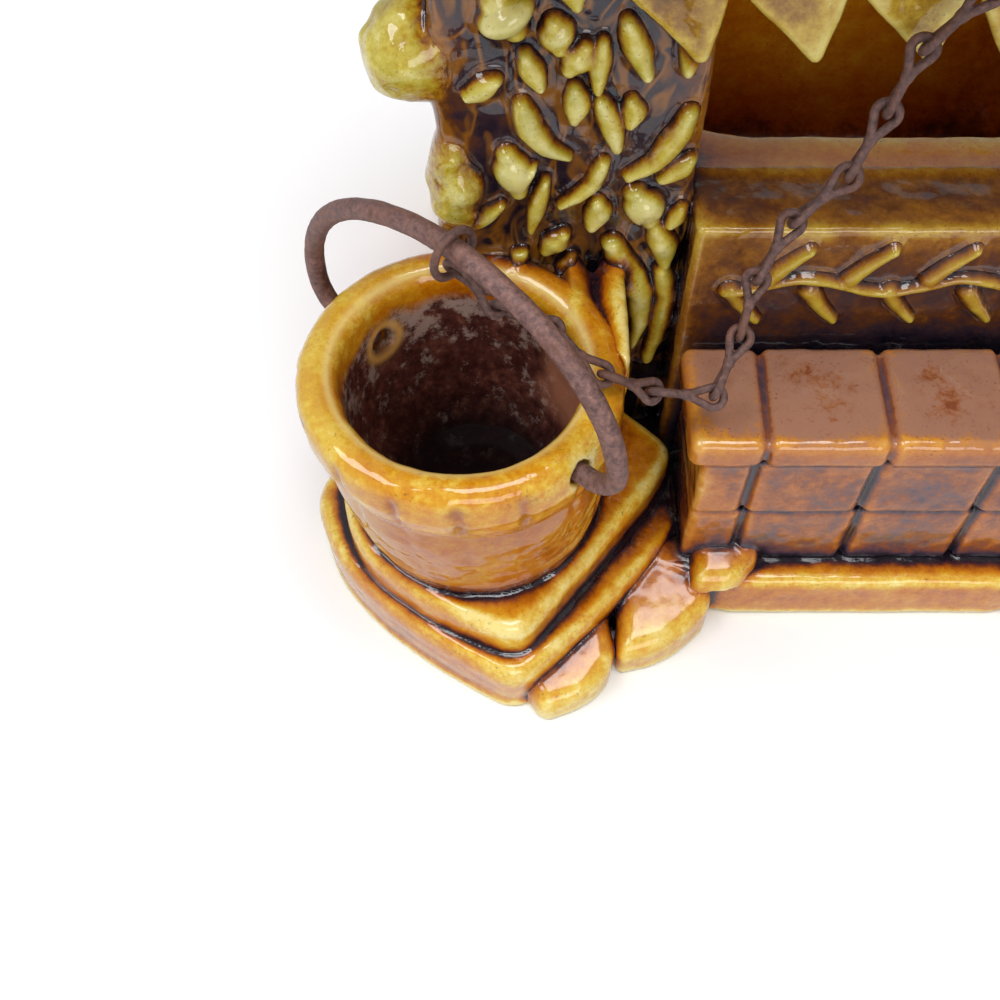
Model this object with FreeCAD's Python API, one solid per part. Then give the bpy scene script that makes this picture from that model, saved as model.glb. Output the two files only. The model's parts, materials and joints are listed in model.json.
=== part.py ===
import FreeCAD, Part
import math
import os
from FreeCAD import Vector as V

# Wishing well planter in glazed pottery, with a wire bail and a jack chain.
# Millimetres. X runs to the right, Y to the back, Z up.
# The origin is the middle of the flat base, on the surface the planter stands on.

os.makedirs("parts", exist_ok=True)

# Two steps under the bucket, diamonds with a bulging left front side: outlines as shares of the half size
LOWER_STEP_HEIGHT = 10.5
LOWER_STEP_HALF = 28.8
LOWER_STEP_OUTLINE = [
    (0.03, -1.0), (0.30, -0.81), (0.62, -0.47), (0.86, -0.18), (0.94, -0.02), (0.78, 0.30), (0.0, 1.0),
    (-0.76, 0.34), (-0.95, 0.06), (-0.90, -0.22), (-0.77, -0.44), (-0.60, -0.62), (-0.42, -0.76), (-0.21, -0.90),
]
UPPER_STEP_HEIGHT = 6.0
UPPER_STEP_HALF = 25.6
UPPER_STEP_OUTLINE = [
    (0.05, -1.0), (0.72, -0.21), (0.88, 0.02), (0.92, 0.16), (0.70, 0.42), (0.0, 1.0), (-0.78, 0.32),
    (-0.94, 0.10), (-0.935, -0.06), (-0.90, -0.25), (-0.84, -0.42), (-0.70, -0.60), (-0.45, -0.79), (-0.20, -0.93),
]
STEP_CENTRE = (-50.0, -27.5)
STEP_CORNER_RADIUS = 3.0
STEP_EDGE_RADIUS = 1.8

# Bucket
BUCKET_X = -56.0
BUCKET_Y = -31.0
BUCKET_HEIGHT = 27.5
BUCKET_BAND_RADIUS = 19.0
BUCKET_BASE_RADIUS = 15.6
BUCKET_MOUTH_RADIUS = 14.2
BUCKET_INNER_BASE_RADIUS = 12.4
BUCKET_FLOOR = 3.5
BUCKET_BAND_HEIGHT = 8.5
BUCKET_LEAN = 0.07
STAVE_COUNT = 16
STAVE_GROOVE_WIDTH = 0.7
STAVE_GROOVE_DEPTH = 0.45

# Bail
BAIL_WIRE_RADIUS = 1.3
BAIL_RUNNING_CLEARANCE = 0.06
BAIL_AZIMUTH = -44.0
BAIL_TILT = 8.0
BAIL_PIVOT_DROP = 5.75
BAIL_HALF_WIDTH = 24.9
BAIL_RISE = 23.9
BAIL_BEND_RADIUS = 4.4
BAIL_END_INSET = 15.4

# Chain: a ring round the bail and figure of eight links
CHAIN_WIRE = 1.0
CHAIN_PLAY = 0.26
LOOP_RADIUS = 1.2
LINK_HALF_LENGTH = 4.35
RING_RADIUS = 2.77
LINK_HEADINGS = [
    (-8, -50), (-5, -29), (-30, -29), (9, -36), (-5, -3), (61, 33), (67, 72),
    (39, 60), (12, 48), (32, 67), (10, 78), (15, 48), (-11, 46),
]
EYE_LOOP_RADIUS = 2.6
EYE_WIRE_RADIUS = 0.4
EYE_PLAY = 0.36

# Plinth and the well front
PLINTH_HEIGHT = 9.0
PLINTH_HALF_WIDTH = 61.0
PLINTH_FRONT = -41.0
PLINTH_FRONT_HALF = 30.0
PLINTH_SHOULDER = -14.0
BODY_BACK = 50.0
BODY_CORNER_RADIUS = 9.0
WELL_HALF_WIDTH = 26.5
WELL_FRONT = -37.0
LOWER_COURSE_HEIGHT = 11.3
UPPER_COURSE_HEIGHT = 11.0
COPING_HEIGHT = 4.8
COPING_HALF_WIDTH = 28.5
COPING_OVERHANG = 0.6
COPING_BACK = -21.7
BRICK_LENGTH = 15.0
LOWER_BRICK_START = 7.0
UPPER_BRICK_START = 6.6
JOINT_WIDTH = 0.9
JOINT_DEPTH = 0.7

# Panel, basin and posts
PANEL_FRONT = -19.0
PANEL_HALF_WIDTH = 28.5
SPRIG_MARGIN = 4.5
SPRIG_PITCH = 9.6
SPRIG_STEM = 1.6
SPRIG_STEM_RISE = 1.0
SPRIG_LEAF_LENGTH = 6.6
SPRIG_LEAF_WIDTH = 3.2
SPRIG_LEAF_REACH = 3.3
SPRIG_LEAF_STAGGER = 2.2
BASIN_FRONT = -10.0
BASIN_TOP = 53.0
BASIN_HALF_WIDTH = 58.0
CAVITY_HALF_WIDTH = 34.0
CAVITY_FRONT = -2.0
CAVITY_BACK = 42.0
CAVITY_CORNER_RADIUS = 14.0
CAVITY_FLOOR = 14.0
POST_FRONT = -14.0
POST_BACK = 14.0
POST_WRAP = 2.0
POST_INNER = 28.5
POST_UPPER_INNER = 34.5
POST_CORNER_RADIUS = 5.0
STRAP_RIGHT = -36.0
STRAP_FRONT = -31.5
STRAP_LEFT = -47.0

# Roof
DECK_BASE = 97.0
DECK_HEIGHT = 4.0
ROOF_HALF_WIDTH = 68.0
ROOF_FRONT = -27.0
ROOF_BACK = 41.0
ROOF_RISE = 66.0
ROOF_THICKNESS = 5.0
SHINGLE_ROWS = 5
SHINGLE_LIP = 1.4
SHINGLE_WIDTH = 17.0
GABLE_INSET = 6.0
GABLE_THICKNESS = 4.0
RIDGE_RADIUS = 4.2
VALANCE_THICKNESS = 3.0
VALANCE_DROP = 16.0
VALANCE_POINT = 8.0
VALANCE_BOARD = 11.4
VALANCE_HALF_COUNT = 3
VALANCE_GAP = 0.5
VALANCE_SKEW = 0.34

# Leaves on the left post: x, z, length, width, angle from the X axis
LEAF_HEIGHT = 1.9
LEAVES = [
    (-49.7, 79.5, 6.0, 4.6, 60), (-44.0, 80.5, 5.0, 3.2, 80), (-48.6, 72.0, 5.6, 2.2, 105),
    (-44.8, 73.4, 4.6, 2.8, 80), (-41.2, 72.5, 6.0, 2.5, 93), (-37.6, 74.5, 6.4, 2.6, 112),
    (-53.2, 66.6, 4.2, 3.0, 20), (-43.2, 67.0, 4.4, 2.2, 85), (-47.8, 63.6, 6.6, 2.9, 128),
    (-39.6, 63.6, 5.4, 2.4, 110), (-36.6, 67.0, 3.0, 2.2, 60), (-51.6, 57.6, 5.4, 3.0, 70),
    (-41.4, 56.6, 6.0, 2.4, 45), (-46.6, 52.6, 5.8, 2.1, 75), (-40.0, 50.6, 3.4, 2.2, 60),
    (-35.0, 52.4, 4.0, 3.2, 90), (-30.8, 50.6, 3.2, 2.4, 60), (-52.6, 51.4, 3.8, 2.6, 40),
    (-44.8, 47.4, 3.2, 2.2, 40), (-36.0, 43.0, 8.0, 3.0, 115), (-31.2, 38.4, 9.4, 2.6, 75),
    (-33.6, 29.6, 6.4, 2.4, 70), (-54.0, 87.0, 6.6, 4.4, 50), (-46.4, 87.4, 6.0, 3.2, 110),
    (-39.6, 86.0, 5.6, 3.0, 70),
]

# Rounded leaf masses beside each post: inset from its side, y, z, radius x, radius y, radius z
LOBES = {
    "upper": (0.0, -9.5, 70.5, 6.2, 6.4, 6.6),
    "lower": (2.6, -12.0, 54.6, 3.6, 4.4, 7.4),
}

# Boulders in front: outline points, base height, top height
STONES = {
    "stone_left_front": ([(-49.0, -52.0), (-45.6, -57.6), (-39.6, -55.6), (-35.6, -51.0), (-36.6, -42.0), (-44.0, -42.0)], 0.0, 7.4),
    "stone_left_middle": ([(-35.4, -50.6), (-28.4, -48.8), (-22.0, -43.4), (-22.6, -32.0), (-35.4, -34.0)], 0.0, 9.6),
    "stone_left_back": ([(-25.4, -42.0), (-19.4, -42.0), (-15.4, -37.8), (-16.4, -32.6), (-24.6, -31.0)], PLINTH_HEIGHT, 13.0),
    "stone_right_front": ([(34.0, -50.0), (46.0, -54.0), (57.0, -49.0), (60.0, -38.0), (40.0, -30.0), (31.0, -39.0)], 0.0, 12.5),
    "stone_right_outer": ([(62.0, -46.0), (71.0, -40.0), (76.0, -29.0), (72.0, -18.0), (60.0, -18.0), (58.0, -34.0)], 0.0, 11.0),
    "stone_right_upper": ([(40.0, -46.0), (53.0, -47.0), (61.0, -35.0), (56.0, -22.0), (42.0, -20.0), (36.0, -33.0)], 12.5, 23.0),
}
STONE_EDGE_RADIUS = 2.0

# Values worked out from the sizes above
UPPER_STEP_TOP = LOWER_STEP_HEIGHT + UPPER_STEP_HEIGHT
RIM_Z = UPPER_STEP_TOP + BUCKET_HEIGHT
COURSE_SPLIT = PLINTH_HEIGHT + LOWER_COURSE_HEIGHT
COPING_BASE = COURSE_SPLIT + UPPER_COURSE_HEIGHT
COPING_TOP = COPING_BASE + COPING_HEIGHT
POST_OUTER = BASIN_HALF_WIDTH + POST_WRAP
DECK_TOP = DECK_BASE + DECK_HEIGHT
RIDGE_Y = (ROOF_FRONT + ROOF_BACK) / 2
RIDGE_Z = DECK_TOP + ROOF_RISE
BAIL_CENTRE = V(BUCKET_X, BUCKET_Y, RIM_Z - BAIL_PIVOT_DROP)


def box(x0, x1, y0, y1, z0, z1):
    return Part.makeBox(x1 - x0, y1 - y0, z1 - z0, V(x0, y0, z0))


def prism(points, z0, z1):
    corners = [V(x, y, z0) for x, y in points]
    face = Part.Face(Part.makePolygon(corners + corners[:1]))
    return face.extrude(V(0, 0, z1 - z0))


def upright_edges(shape):
    found = []
    for edge in shape.Edges:
        run = edge.Vertexes[-1].Point - edge.Vertexes[0].Point
        if abs(run.x) < 1e-6 and abs(run.y) < 1e-6:
            found.append(edge)
    return found


def level_edges(shape, z):
    return [e for e in shape.Edges if all(abs(v.Z - z) < 1e-6 for v in e.Vertexes)]


def rounded_prism(points, z0, z1, corner, rim):
    block = prism(points, z0, z1)
    block = block.makeFillet(corner, upright_edges(block))
    return block.makeFillet(rim, level_edges(block, z1))


def mirrored(shape):
    return shape.mirror(V(0, 0, 0), V(1, 0, 0))


def less(shape, cutters):
    result = shape
    for cutter in cutters:
        if result.BoundBox.intersect(cutter.BoundBox):
            result = result.cut(cutter)
    return result.removeSplitter()


def main_solid(shape):
    return max(shape.Solids, key=lambda s: s.Volume)


def unit(vector):
    return V(vector).normalize()


# Steps
def step_points(shares, half):
    cx, cy = STEP_CENTRE
    return [(cx + half * u, cy + half * v) for u, v in shares]


def make_step(points, z0, z1):
    return rounded_prism(points, z0, z1, STEP_CORNER_RADIUS, STEP_EDGE_RADIUS)


# Bucket, turned about its own axis and then leaned
def bucket_profile():
    band_low = RIM_Z - BUCKET_BAND_HEIGHT
    outer = [
        V(0, 0, UPPER_STEP_TOP),
        V(BUCKET_BASE_RADIUS, 0, UPPER_STEP_TOP),
        V(BUCKET_BAND_RADIUS - 1.3, 0, band_low),
        V(BUCKET_BAND_RADIUS - 0.2, 0, band_low + 1.2),
        V(BUCKET_BAND_RADIUS, 0, RIM_Z - 3.0),
    ]
    lip = Part.Arc(outer[-1], V(BUCKET_BAND_RADIUS - 2.3, 0, RIM_Z), V(BUCKET_MOUTH_RADIUS, 0, RIM_Z - 3.2))
    inner = [
        V(BUCKET_MOUTH_RADIUS, 0, RIM_Z - 3.2),
        V(BUCKET_MOUTH_RADIUS - 0.4, 0, RIM_Z - 12.0),
        V(BUCKET_INNER_BASE_RADIUS, 0, UPPER_STEP_TOP + BUCKET_FLOOR),
        V(0, 0, UPPER_STEP_TOP + BUCKET_FLOOR),
        V(0, 0, UPPER_STEP_TOP),
    ]
    edges = [Part.LineSegment(a, b).toShape() for a, b in zip(outer, outer[1:])]
    edges.append(lip.toShape())
    edges += [Part.LineSegment(a, b).toShape() for a, b in zip(inner, inner[1:])]
    return Part.Face(Part.Wire(edges))


def lean_matrix():
    k = -BUCKET_LEAN
    return FreeCAD.Matrix(1, 0, k, -k * RIM_Z, 0, 1, 0, 0, 0, 0, 1, 0, 0, 0, 0, 1)


def bail_axis():
    tilt = math.radians(BAIL_TILT)
    turn = math.radians(BAIL_AZIMUTH)
    return V(math.cos(tilt) * math.cos(turn), math.cos(tilt) * math.sin(turn), math.sin(tilt))


def make_bucket():
    body = bucket_profile().revolve(V(0, 0, 0), V(0, 0, 1), 360)
    grooves = []
    inner = BUCKET_BAND_RADIUS - STAVE_GROOVE_DEPTH
    for i in range(STAVE_COUNT):
        slot = Part.makeBox(4, STAVE_GROOVE_WIDTH, BUCKET_BAND_HEIGHT - 4.2,
                            V(inner, -STAVE_GROOVE_WIDTH / 2, RIM_Z - BUCKET_BAND_HEIGHT + 1.2))
        slot.rotate(V(0, 0, 0), V(0, 0, 1), (i + 0.5) * 360.0 / STAVE_COUNT)
        grooves.append(slot)
    body = body.cut(Part.makeCompound(grooves))
    body = body.transformGeometry(lean_matrix())
    body.translate(V(BUCKET_X, BUCKET_Y, 0))
    reach = BUCKET_BAND_RADIUS + 4
    start = BAIL_CENTRE - bail_axis() * reach
    bore = Part.makeCylinder(BAIL_WIRE_RADIUS + BAIL_RUNNING_CLEARANCE, 2 * reach, start, bail_axis())
    return main_solid(body.cut(bore))


def bucket_hull():
    """The bucket's outside without its bore and hollow, for cutting what stands against it."""
    face = bucket_profile()
    body = face.revolve(V(0, 0, 0), V(0, 0, 1), 360)
    core = Part.makeCylinder(BUCKET_MOUTH_RADIUS + 0.5, BUCKET_HEIGHT, V(0, 0, UPPER_STEP_TOP))
    body = body.fuse(core).transformGeometry(lean_matrix())
    body.translate(V(BUCKET_X, BUCKET_Y, 0))
    return body


# Bail: an arch with its two ends turned in through the bucket's holes
def make_bail():
    out = bail_axis()
    up = unit(V(0, 0, 1) - out * out.z)

    def at(r, h):
        return BAIL_CENTRE + out * r + up * h

    arch_base = BAIL_BEND_RADIUS
    arch = Part.Ellipse(at(BAIL_HALF_WIDTH, arch_base), at(0, BAIL_RISE), at(0, arch_base))
    arch_edge = arch.toShape(0, math.pi)
    edges = []
    bend_start = BAIL_HALF_WIDTH - BAIL_BEND_RADIUS
    knee = BAIL_BEND_RADIUS * math.sqrt(0.5)
    for side in (1, -1):
        tip = at(side * BAIL_END_INSET, 0)
        turn = at(side * bend_start, 0)
        middle = at(side * (bend_start + knee), arch_base - knee)
        top = at(side * BAIL_HALF_WIDTH, arch_base)
        pair = [Part.LineSegment(tip, turn).toShape(), Part.Arc(turn, middle, top).toShape()]
        edges += pair
    path = Part.Wire(Part.__sortEdges__(edges[:2] + [arch_edge] + edges[2:]))
    start = path.OrderedVertexes[0].Point
    heading = out if (start - BAIL_CENTRE).dot(out) < 0 else out * -1
    ring = Part.Wire(Part.Circle(start, heading, BAIL_WIRE_RADIUS).toShape())
    return main_solid(path.makePipeShell([ring], True, False))


# Chain
def link_frames():
    """Heading, side, normal, near wire centre, middle and far wire centre of each link."""
    turn = math.radians(BAIL_AZIMUTH)
    step = CHAIN_WIRE + CHAIN_PLAY
    foot = ring_centre() + V(0, 0, -RING_RADIUS)
    last = {"along": V(0, 0, -1), "side": V(math.cos(turn), math.sin(turn), 0), "far": foot}
    frames = []
    for azimuth, rise in LINK_HEADINGS:
        a = math.radians(azimuth)
        b = math.radians(rise)
        along = V(math.cos(b) * math.cos(a), math.cos(b) * math.sin(a), math.sin(b))
        bend = math.atan2(along.dot(last["side"]), along.dot(last["along"]))
        pull = last["along"] * math.cos(bend) + last["side"] * math.sin(bend)
        side = last["side"] * math.cos(bend) - last["along"] * math.sin(bend)
        near = last["far"] - pull * step
        middle = near + along * LINK_HALF_LENGTH
        last = {
            "along": along, "side": side, "normal": along.cross(side),
            "near": near, "middle": middle, "far": middle + along * LINK_HALF_LENGTH,
        }
        frames.append(last)
    return frames


def bail_top():
    """Wire centre of the arch straight above the middle of the pivots."""
    slope = math.tan(math.radians(BAIL_TILT))
    rise = BAIL_RISE
    for _ in range(20):
        share = rise * slope / BAIL_HALF_WIDTH
        rise = BAIL_BEND_RADIUS + (BAIL_RISE - BAIL_BEND_RADIUS) * math.sqrt(1 - share * share)
    return BAIL_CENTRE + V(0, 0, rise / math.cos(math.radians(BAIL_TILT)))


def ring_centre():
    play = BAIL_WIRE_RADIUS + CHAIN_WIRE / 2 + CHAIN_PLAY
    return bail_top() + V(0, 0, play - RING_RADIUS)


def loop_solids(along, plane):
    """One loop of a link, in two runs of wire, about a link centred on the origin."""
    centre = LINK_HALF_LENGTH - LOOP_RADIUS
    half_angle = math.asin(LOOP_RADIUS / centre)
    tx = centre - LOOP_RADIUS * math.sin(half_angle)
    ty = LOOP_RADIUS * math.cos(half_angle)
    out = along * tx + plane * ty
    back = along * tx - plane * ty
    leg = Part.LineSegment(V(0, 0, 0), out).toShape()
    turn = Part.Arc(out, along * LINK_HALF_LENGTH, back).toShape()
    section = Part.Wire(Part.Circle(V(0, 0, 0), unit(out), CHAIN_WIRE / 2).toShape())
    hook = Part.Wire([leg, turn]).makePipeShell([section], True, False)
    return [Part.makeSolid(hook), Part.makeCylinder(CHAIN_WIRE / 2, back.Length, V(0, 0, 0), unit(back))]


def make_link():
    """A link along X: its near loop lies flat in XY and its far loop stands in XZ."""
    pieces = loop_solids(V(1, 0, 0), V(0, 0, 1)) + loop_solids(V(-1, 0, 0), V(0, 1, 0))
    knot = Part.makeSphere(CHAIN_WIRE * 0.72)
    return main_solid(knot.multiFuse(pieces))


def place_link(link, frame):
    a = frame["along"]
    s = frame["side"]
    n = frame["normal"]
    m = frame["middle"]
    return link.transformed(FreeCAD.Matrix(a.x, s.x, n.x, m.x, a.y, s.y, n.y, m.y, a.z, s.z, n.z, m.z), True)


def make_ring():
    turn = math.radians(BAIL_AZIMUTH)
    return Part.makeTorus(RING_RADIUS, CHAIN_WIRE / 2, ring_centre(), V(math.cos(turn), math.sin(turn), 0))


def make_anchor_eye(frames):
    """A loop of wire under the roof, with a shank up to the deck."""
    last = frames[-1]
    reach = CHAIN_WIRE / 2 + EYE_WIRE_RADIUS + EYE_PLAY
    foot = last["far"] - last["along"] * reach
    centre = foot + V(0, 0, EYE_LOOP_RADIUS)
    across = unit(V(last["side"].x, last["side"].y, 0))
    loop = Part.makeTorus(EYE_LOOP_RADIUS, EYE_WIRE_RADIUS, centre, across.cross(V(0, 0, 1)))
    top = centre + V(0, 0, EYE_LOOP_RADIUS)
    shank = Part.makeCylinder(EYE_WIRE_RADIUS, DECK_BASE - top.z, top)
    return main_solid(loop.fuse(shank))


# Plinth and the well front
def make_plinth():
    outline = [
        (-PLINTH_FRONT_HALF, PLINTH_FRONT), (PLINTH_FRONT_HALF, PLINTH_FRONT),
        (PLINTH_HALF_WIDTH, PLINTH_SHOULDER), (PLINTH_HALF_WIDTH, BODY_BACK),
        (-PLINTH_HALF_WIDTH, BODY_BACK), (-PLINTH_HALF_WIDTH, PLINTH_SHOULDER),
    ]
    return rounded_prism(outline, 0, PLINTH_HEIGHT, BODY_CORNER_RADIUS, 1.2)


def brick_joints(z0, z1, front, half_width, shift):
    cuts = []
    x = -half_width + shift
    while x < half_width - 3:
        if x > -half_width + 3:
            cuts.append(box(x - JOINT_WIDTH / 2, x + JOINT_WIDTH / 2, front - 1, front + JOINT_DEPTH, z0 - 1, z1 + 1))
        x += BRICK_LENGTH
    return cuts


def make_course(z0, z1, half_width, front, back, shift):
    block = box(-half_width, half_width, front, back, z0, z1)
    edges = [e for e in level_edges(block, z1) if abs(e.CenterOfMass.y - front) < 0.01]
    edges += [e for e in level_edges(block, z0) if abs(e.CenterOfMass.y - front) < 0.01]
    block = block.makeFillet(0.8, edges)
    return block.cut(Part.makeCompound(brick_joints(z0, z1, front, half_width, shift)))


def make_coping():
    front = WELL_FRONT - COPING_OVERHANG
    block = box(-COPING_HALF_WIDTH, COPING_HALF_WIDTH, front, COPING_BACK, COPING_BASE, COPING_TOP)
    block = block.makeFillet(1.4, level_edges(block, COPING_TOP))
    cuts = brick_joints(COPING_BASE, COPING_TOP, front, COPING_HALF_WIDTH, 9.5)
    x = -COPING_HALF_WIDTH + 9.5
    while x < COPING_HALF_WIDTH - 3:
        cuts.append(box(x - JOINT_WIDTH / 2, x + JOINT_WIDTH / 2, front - 1, COPING_BACK + 1,
                        COPING_TOP - JOINT_DEPTH, COPING_TOP + 1))
        x += BRICK_LENGTH
    return block.cut(Part.makeCompound(cuts))


# Raised leaves
def half_leaf(x, z, length, width, angle, face_y):
    dome = Part.makeSphere(1.0, V(0, 0, 0), V(0, -1, 0), 0, 90)
    turn = math.radians(angle)
    a = length / 2
    b = width / 2
    c = math.cos(turn)
    s = math.sin(turn)
    place = FreeCAD.Matrix(a * c, 0, -b * s, x, 0, LEAF_HEIGHT, 0, face_y, a * s, 0, b * c, z, 0, 0, 0, 1)
    return dome.transformGeometry(place)


def make_post_leaves(neighbours):
    leaves = [half_leaf(x, z, n, w, a, POST_FRONT) for x, z, n, w, a in LEAVES]
    return Part.makeCompound([main_solid(less(leaf, neighbours)) for leaf in leaves])


def make_panel_sprig():
    """A wavy stem with leaves on both sides, raised from the panel."""
    leaves = []
    middle = (COPING_TOP + BASIN_TOP) / 2
    stem_half = SPRIG_STEM / 2
    span = PANEL_HALF_WIDTH - SPRIG_MARGIN
    stem = box(-span, span, PANEL_FRONT - SPRIG_STEM_RISE, PANEL_FRONT, middle - stem_half, middle + stem_half)
    leaves.append(stem)
    count = int(span // SPRIG_PITCH)
    for i in range(-count, count + 1):
        for side in (1, -1):
            x = i * SPRIG_PITCH + side * SPRIG_LEAF_STAGGER
            z = middle + side * (stem_half + SPRIG_LEAF_REACH)
            leaves.append(half_leaf(x, z, SPRIG_LEAF_LENGTH, SPRIG_LEAF_WIDTH, 90 - side * 32, PANEL_FRONT))
    return Part.makeCompound(leaves)


# Basin and posts
def make_basin():
    w = BASIN_HALF_WIDTH
    outline = [(-w, BASIN_FRONT), (w, BASIN_FRONT), (w, BODY_BACK - 2), (-w, BODY_BACK - 2)]
    block = prism(outline, PLINTH_HEIGHT, BASIN_TOP)
    rear = [e for e in upright_edges(block) if e.CenterOfMass.y > 0]
    block = block.makeFillet(BODY_CORNER_RADIUS, rear)
    c = CAVITY_HALF_WIDTH
    hollow = prism([(-c, CAVITY_FRONT), (c, CAVITY_FRONT), (c, CAVITY_BACK), (-c, CAVITY_BACK)], CAVITY_FLOOR, BASIN_TOP + 1)
    hollow = hollow.makeFillet(CAVITY_CORNER_RADIUS, upright_edges(hollow))
    hollow = hollow.makeFillet(3.0, level_edges(hollow, CAVITY_FLOOR))
    return block.cut(hollow)


def make_post():
    low = box(-POST_OUTER, -POST_INNER, POST_FRONT, BASIN_FRONT, PLINTH_HEIGHT, BASIN_TOP)
    high = box(-POST_OUTER, -POST_INNER, POST_FRONT, CAVITY_FRONT, BASIN_TOP, DECK_BASE)
    rear = box(-POST_OUTER, -POST_UPPER_INNER, CAVITY_FRONT, POST_BACK, BASIN_TOP, DECK_BASE)
    side = box(-POST_OUTER, -BASIN_HALF_WIDTH, BASIN_FRONT, POST_BACK, PLINTH_HEIGHT, BASIN_TOP)
    post = low.fuse([high, rear, side]).removeSplitter()
    corners = [e for e in upright_edges(post) if abs(e.CenterOfMass.x + POST_OUTER) < 0.01 and e.Length > 20]
    return post.makeFillet(POST_CORNER_RADIUS - 3.2, corners)


def make_lobe(inset, y, z, rx, ry, rz):
    place = FreeCAD.Matrix(rx, 0, 0, inset - POST_OUTER, 0, ry, 0, y, 0, 0, rz, z, 0, 0, 0, 1)
    return Part.makeSphere(1.0).transformGeometry(place)


# Roof
def make_deck():
    deck = box(-ROOF_HALF_WIDTH, ROOF_HALF_WIDTH, ROOF_FRONT, ROOF_BACK, DECK_BASE, DECK_TOP)
    return deck.makeFillet(1.2, level_edges(deck, DECK_BASE))


def slope_profile():
    """Stepped outline of the front slope in the YZ plane, from the eave to the ridge."""
    run = RIDGE_Y - ROOF_FRONT
    length = math.hypot(run, ROOF_RISE)
    uy = run / length
    uz = ROOF_RISE / length
    inner_y = ROOF_FRONT + ROOF_THICKNESS / uz
    points = [(inner_y, DECK_TOP), (ROOF_FRONT, DECK_TOP)]
    row = length / SHINGLE_ROWS
    for i in range(1, SHINGLE_ROWS):
        y = ROOF_FRONT + uy * i * row
        z = DECK_TOP + uz * i * row
        points += [(y, z), (y - uz * SHINGLE_LIP, z + uy * SHINGLE_LIP)]
    points += [(RIDGE_Y, RIDGE_Z), (RIDGE_Y, DECK_TOP + (RIDGE_Y - inner_y) * uz / uy)]
    return points


def make_slope():
    points = [V(-ROOF_HALF_WIDTH, y, z) for y, z in slope_profile()]
    face = Part.Face(Part.makePolygon(points + points[:1]))
    slope = face.extrude(V(2 * ROOF_HALF_WIDTH, 0, 0))
    run = RIDGE_Y - ROOF_FRONT
    angle = math.degrees(math.atan2(ROOF_RISE, run))
    row = math.hypot(run, ROOF_RISE) / SHINGLE_ROWS
    cuts = []
    for i in range(SHINGLE_ROWS):
        x = -ROOF_HALF_WIDTH + SHINGLE_WIDTH * (0.5 if i % 2 else 1.0)
        while x < ROOF_HALF_WIDTH - 2:
            slot = Part.makeBox(JOINT_WIDTH, row, 4, V(x, i * row, -JOINT_DEPTH))
            slot.rotate(V(0, 0, 0), V(1, 0, 0), angle)
            slot.translate(V(0, ROOF_FRONT, DECK_TOP))
            cuts.append(slot)
            x += SHINGLE_WIDTH
    return main_solid(slope.cut(Part.makeCompound(cuts)))


def make_gable(cutters):
    x0 = ROOF_HALF_WIDTH - GABLE_INSET - GABLE_THICKNESS
    points = [V(x0, ROOF_FRONT, DECK_TOP), V(x0, ROOF_BACK, DECK_TOP), V(x0, RIDGE_Y, RIDGE_Z)]
    wall = Part.Face(Part.makePolygon(points + points[:1])).extrude(V(GABLE_THICKNESS, 0, 0))
    return main_solid(less(wall, cutters))


def make_ridge(cutters):
    centre = V(-ROOF_HALF_WIDTH, RIDGE_Y, RIDGE_Z - 1.0)
    log = Part.makeCylinder(RIDGE_RADIUS, 2 * ROOF_HALF_WIDTH, centre, V(1, 0, 0))
    return main_solid(less(log, cutters))


def make_valance():
    """Boards with slanted points that hang under the front eave."""
    boards = []
    back = POST_FRONT
    for i in range(-VALANCE_HALF_COUNT, VALANCE_HALF_COUNT + 1):
        x0 = (i - 0.5) * VALANCE_BOARD + VALANCE_GAP / 2
        x1 = (i + 0.5) * VALANCE_BOARD - VALANCE_GAP / 2
        lean = VALANCE_SKEW * (x1 - x0) * (-1 if i > 0 else 1 if i < 0 else 0)
        tip = (x0 + x1) / 2 + lean
        low = DECK_BASE - VALANCE_DROP
        outline = [(x0, low), (tip, low - VALANCE_POINT), (x1, low), (x1, DECK_BASE), (x0, DECK_BASE)]
        corners = [V(x, back - VALANCE_THICKNESS, z) for x, z in outline]
        board = Part.Face(Part.makePolygon(corners + corners[:1])).extrude(V(0, VALANCE_THICKNESS, 0))
        boards.append(board)
    return Part.makeCompound(boards)


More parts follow.
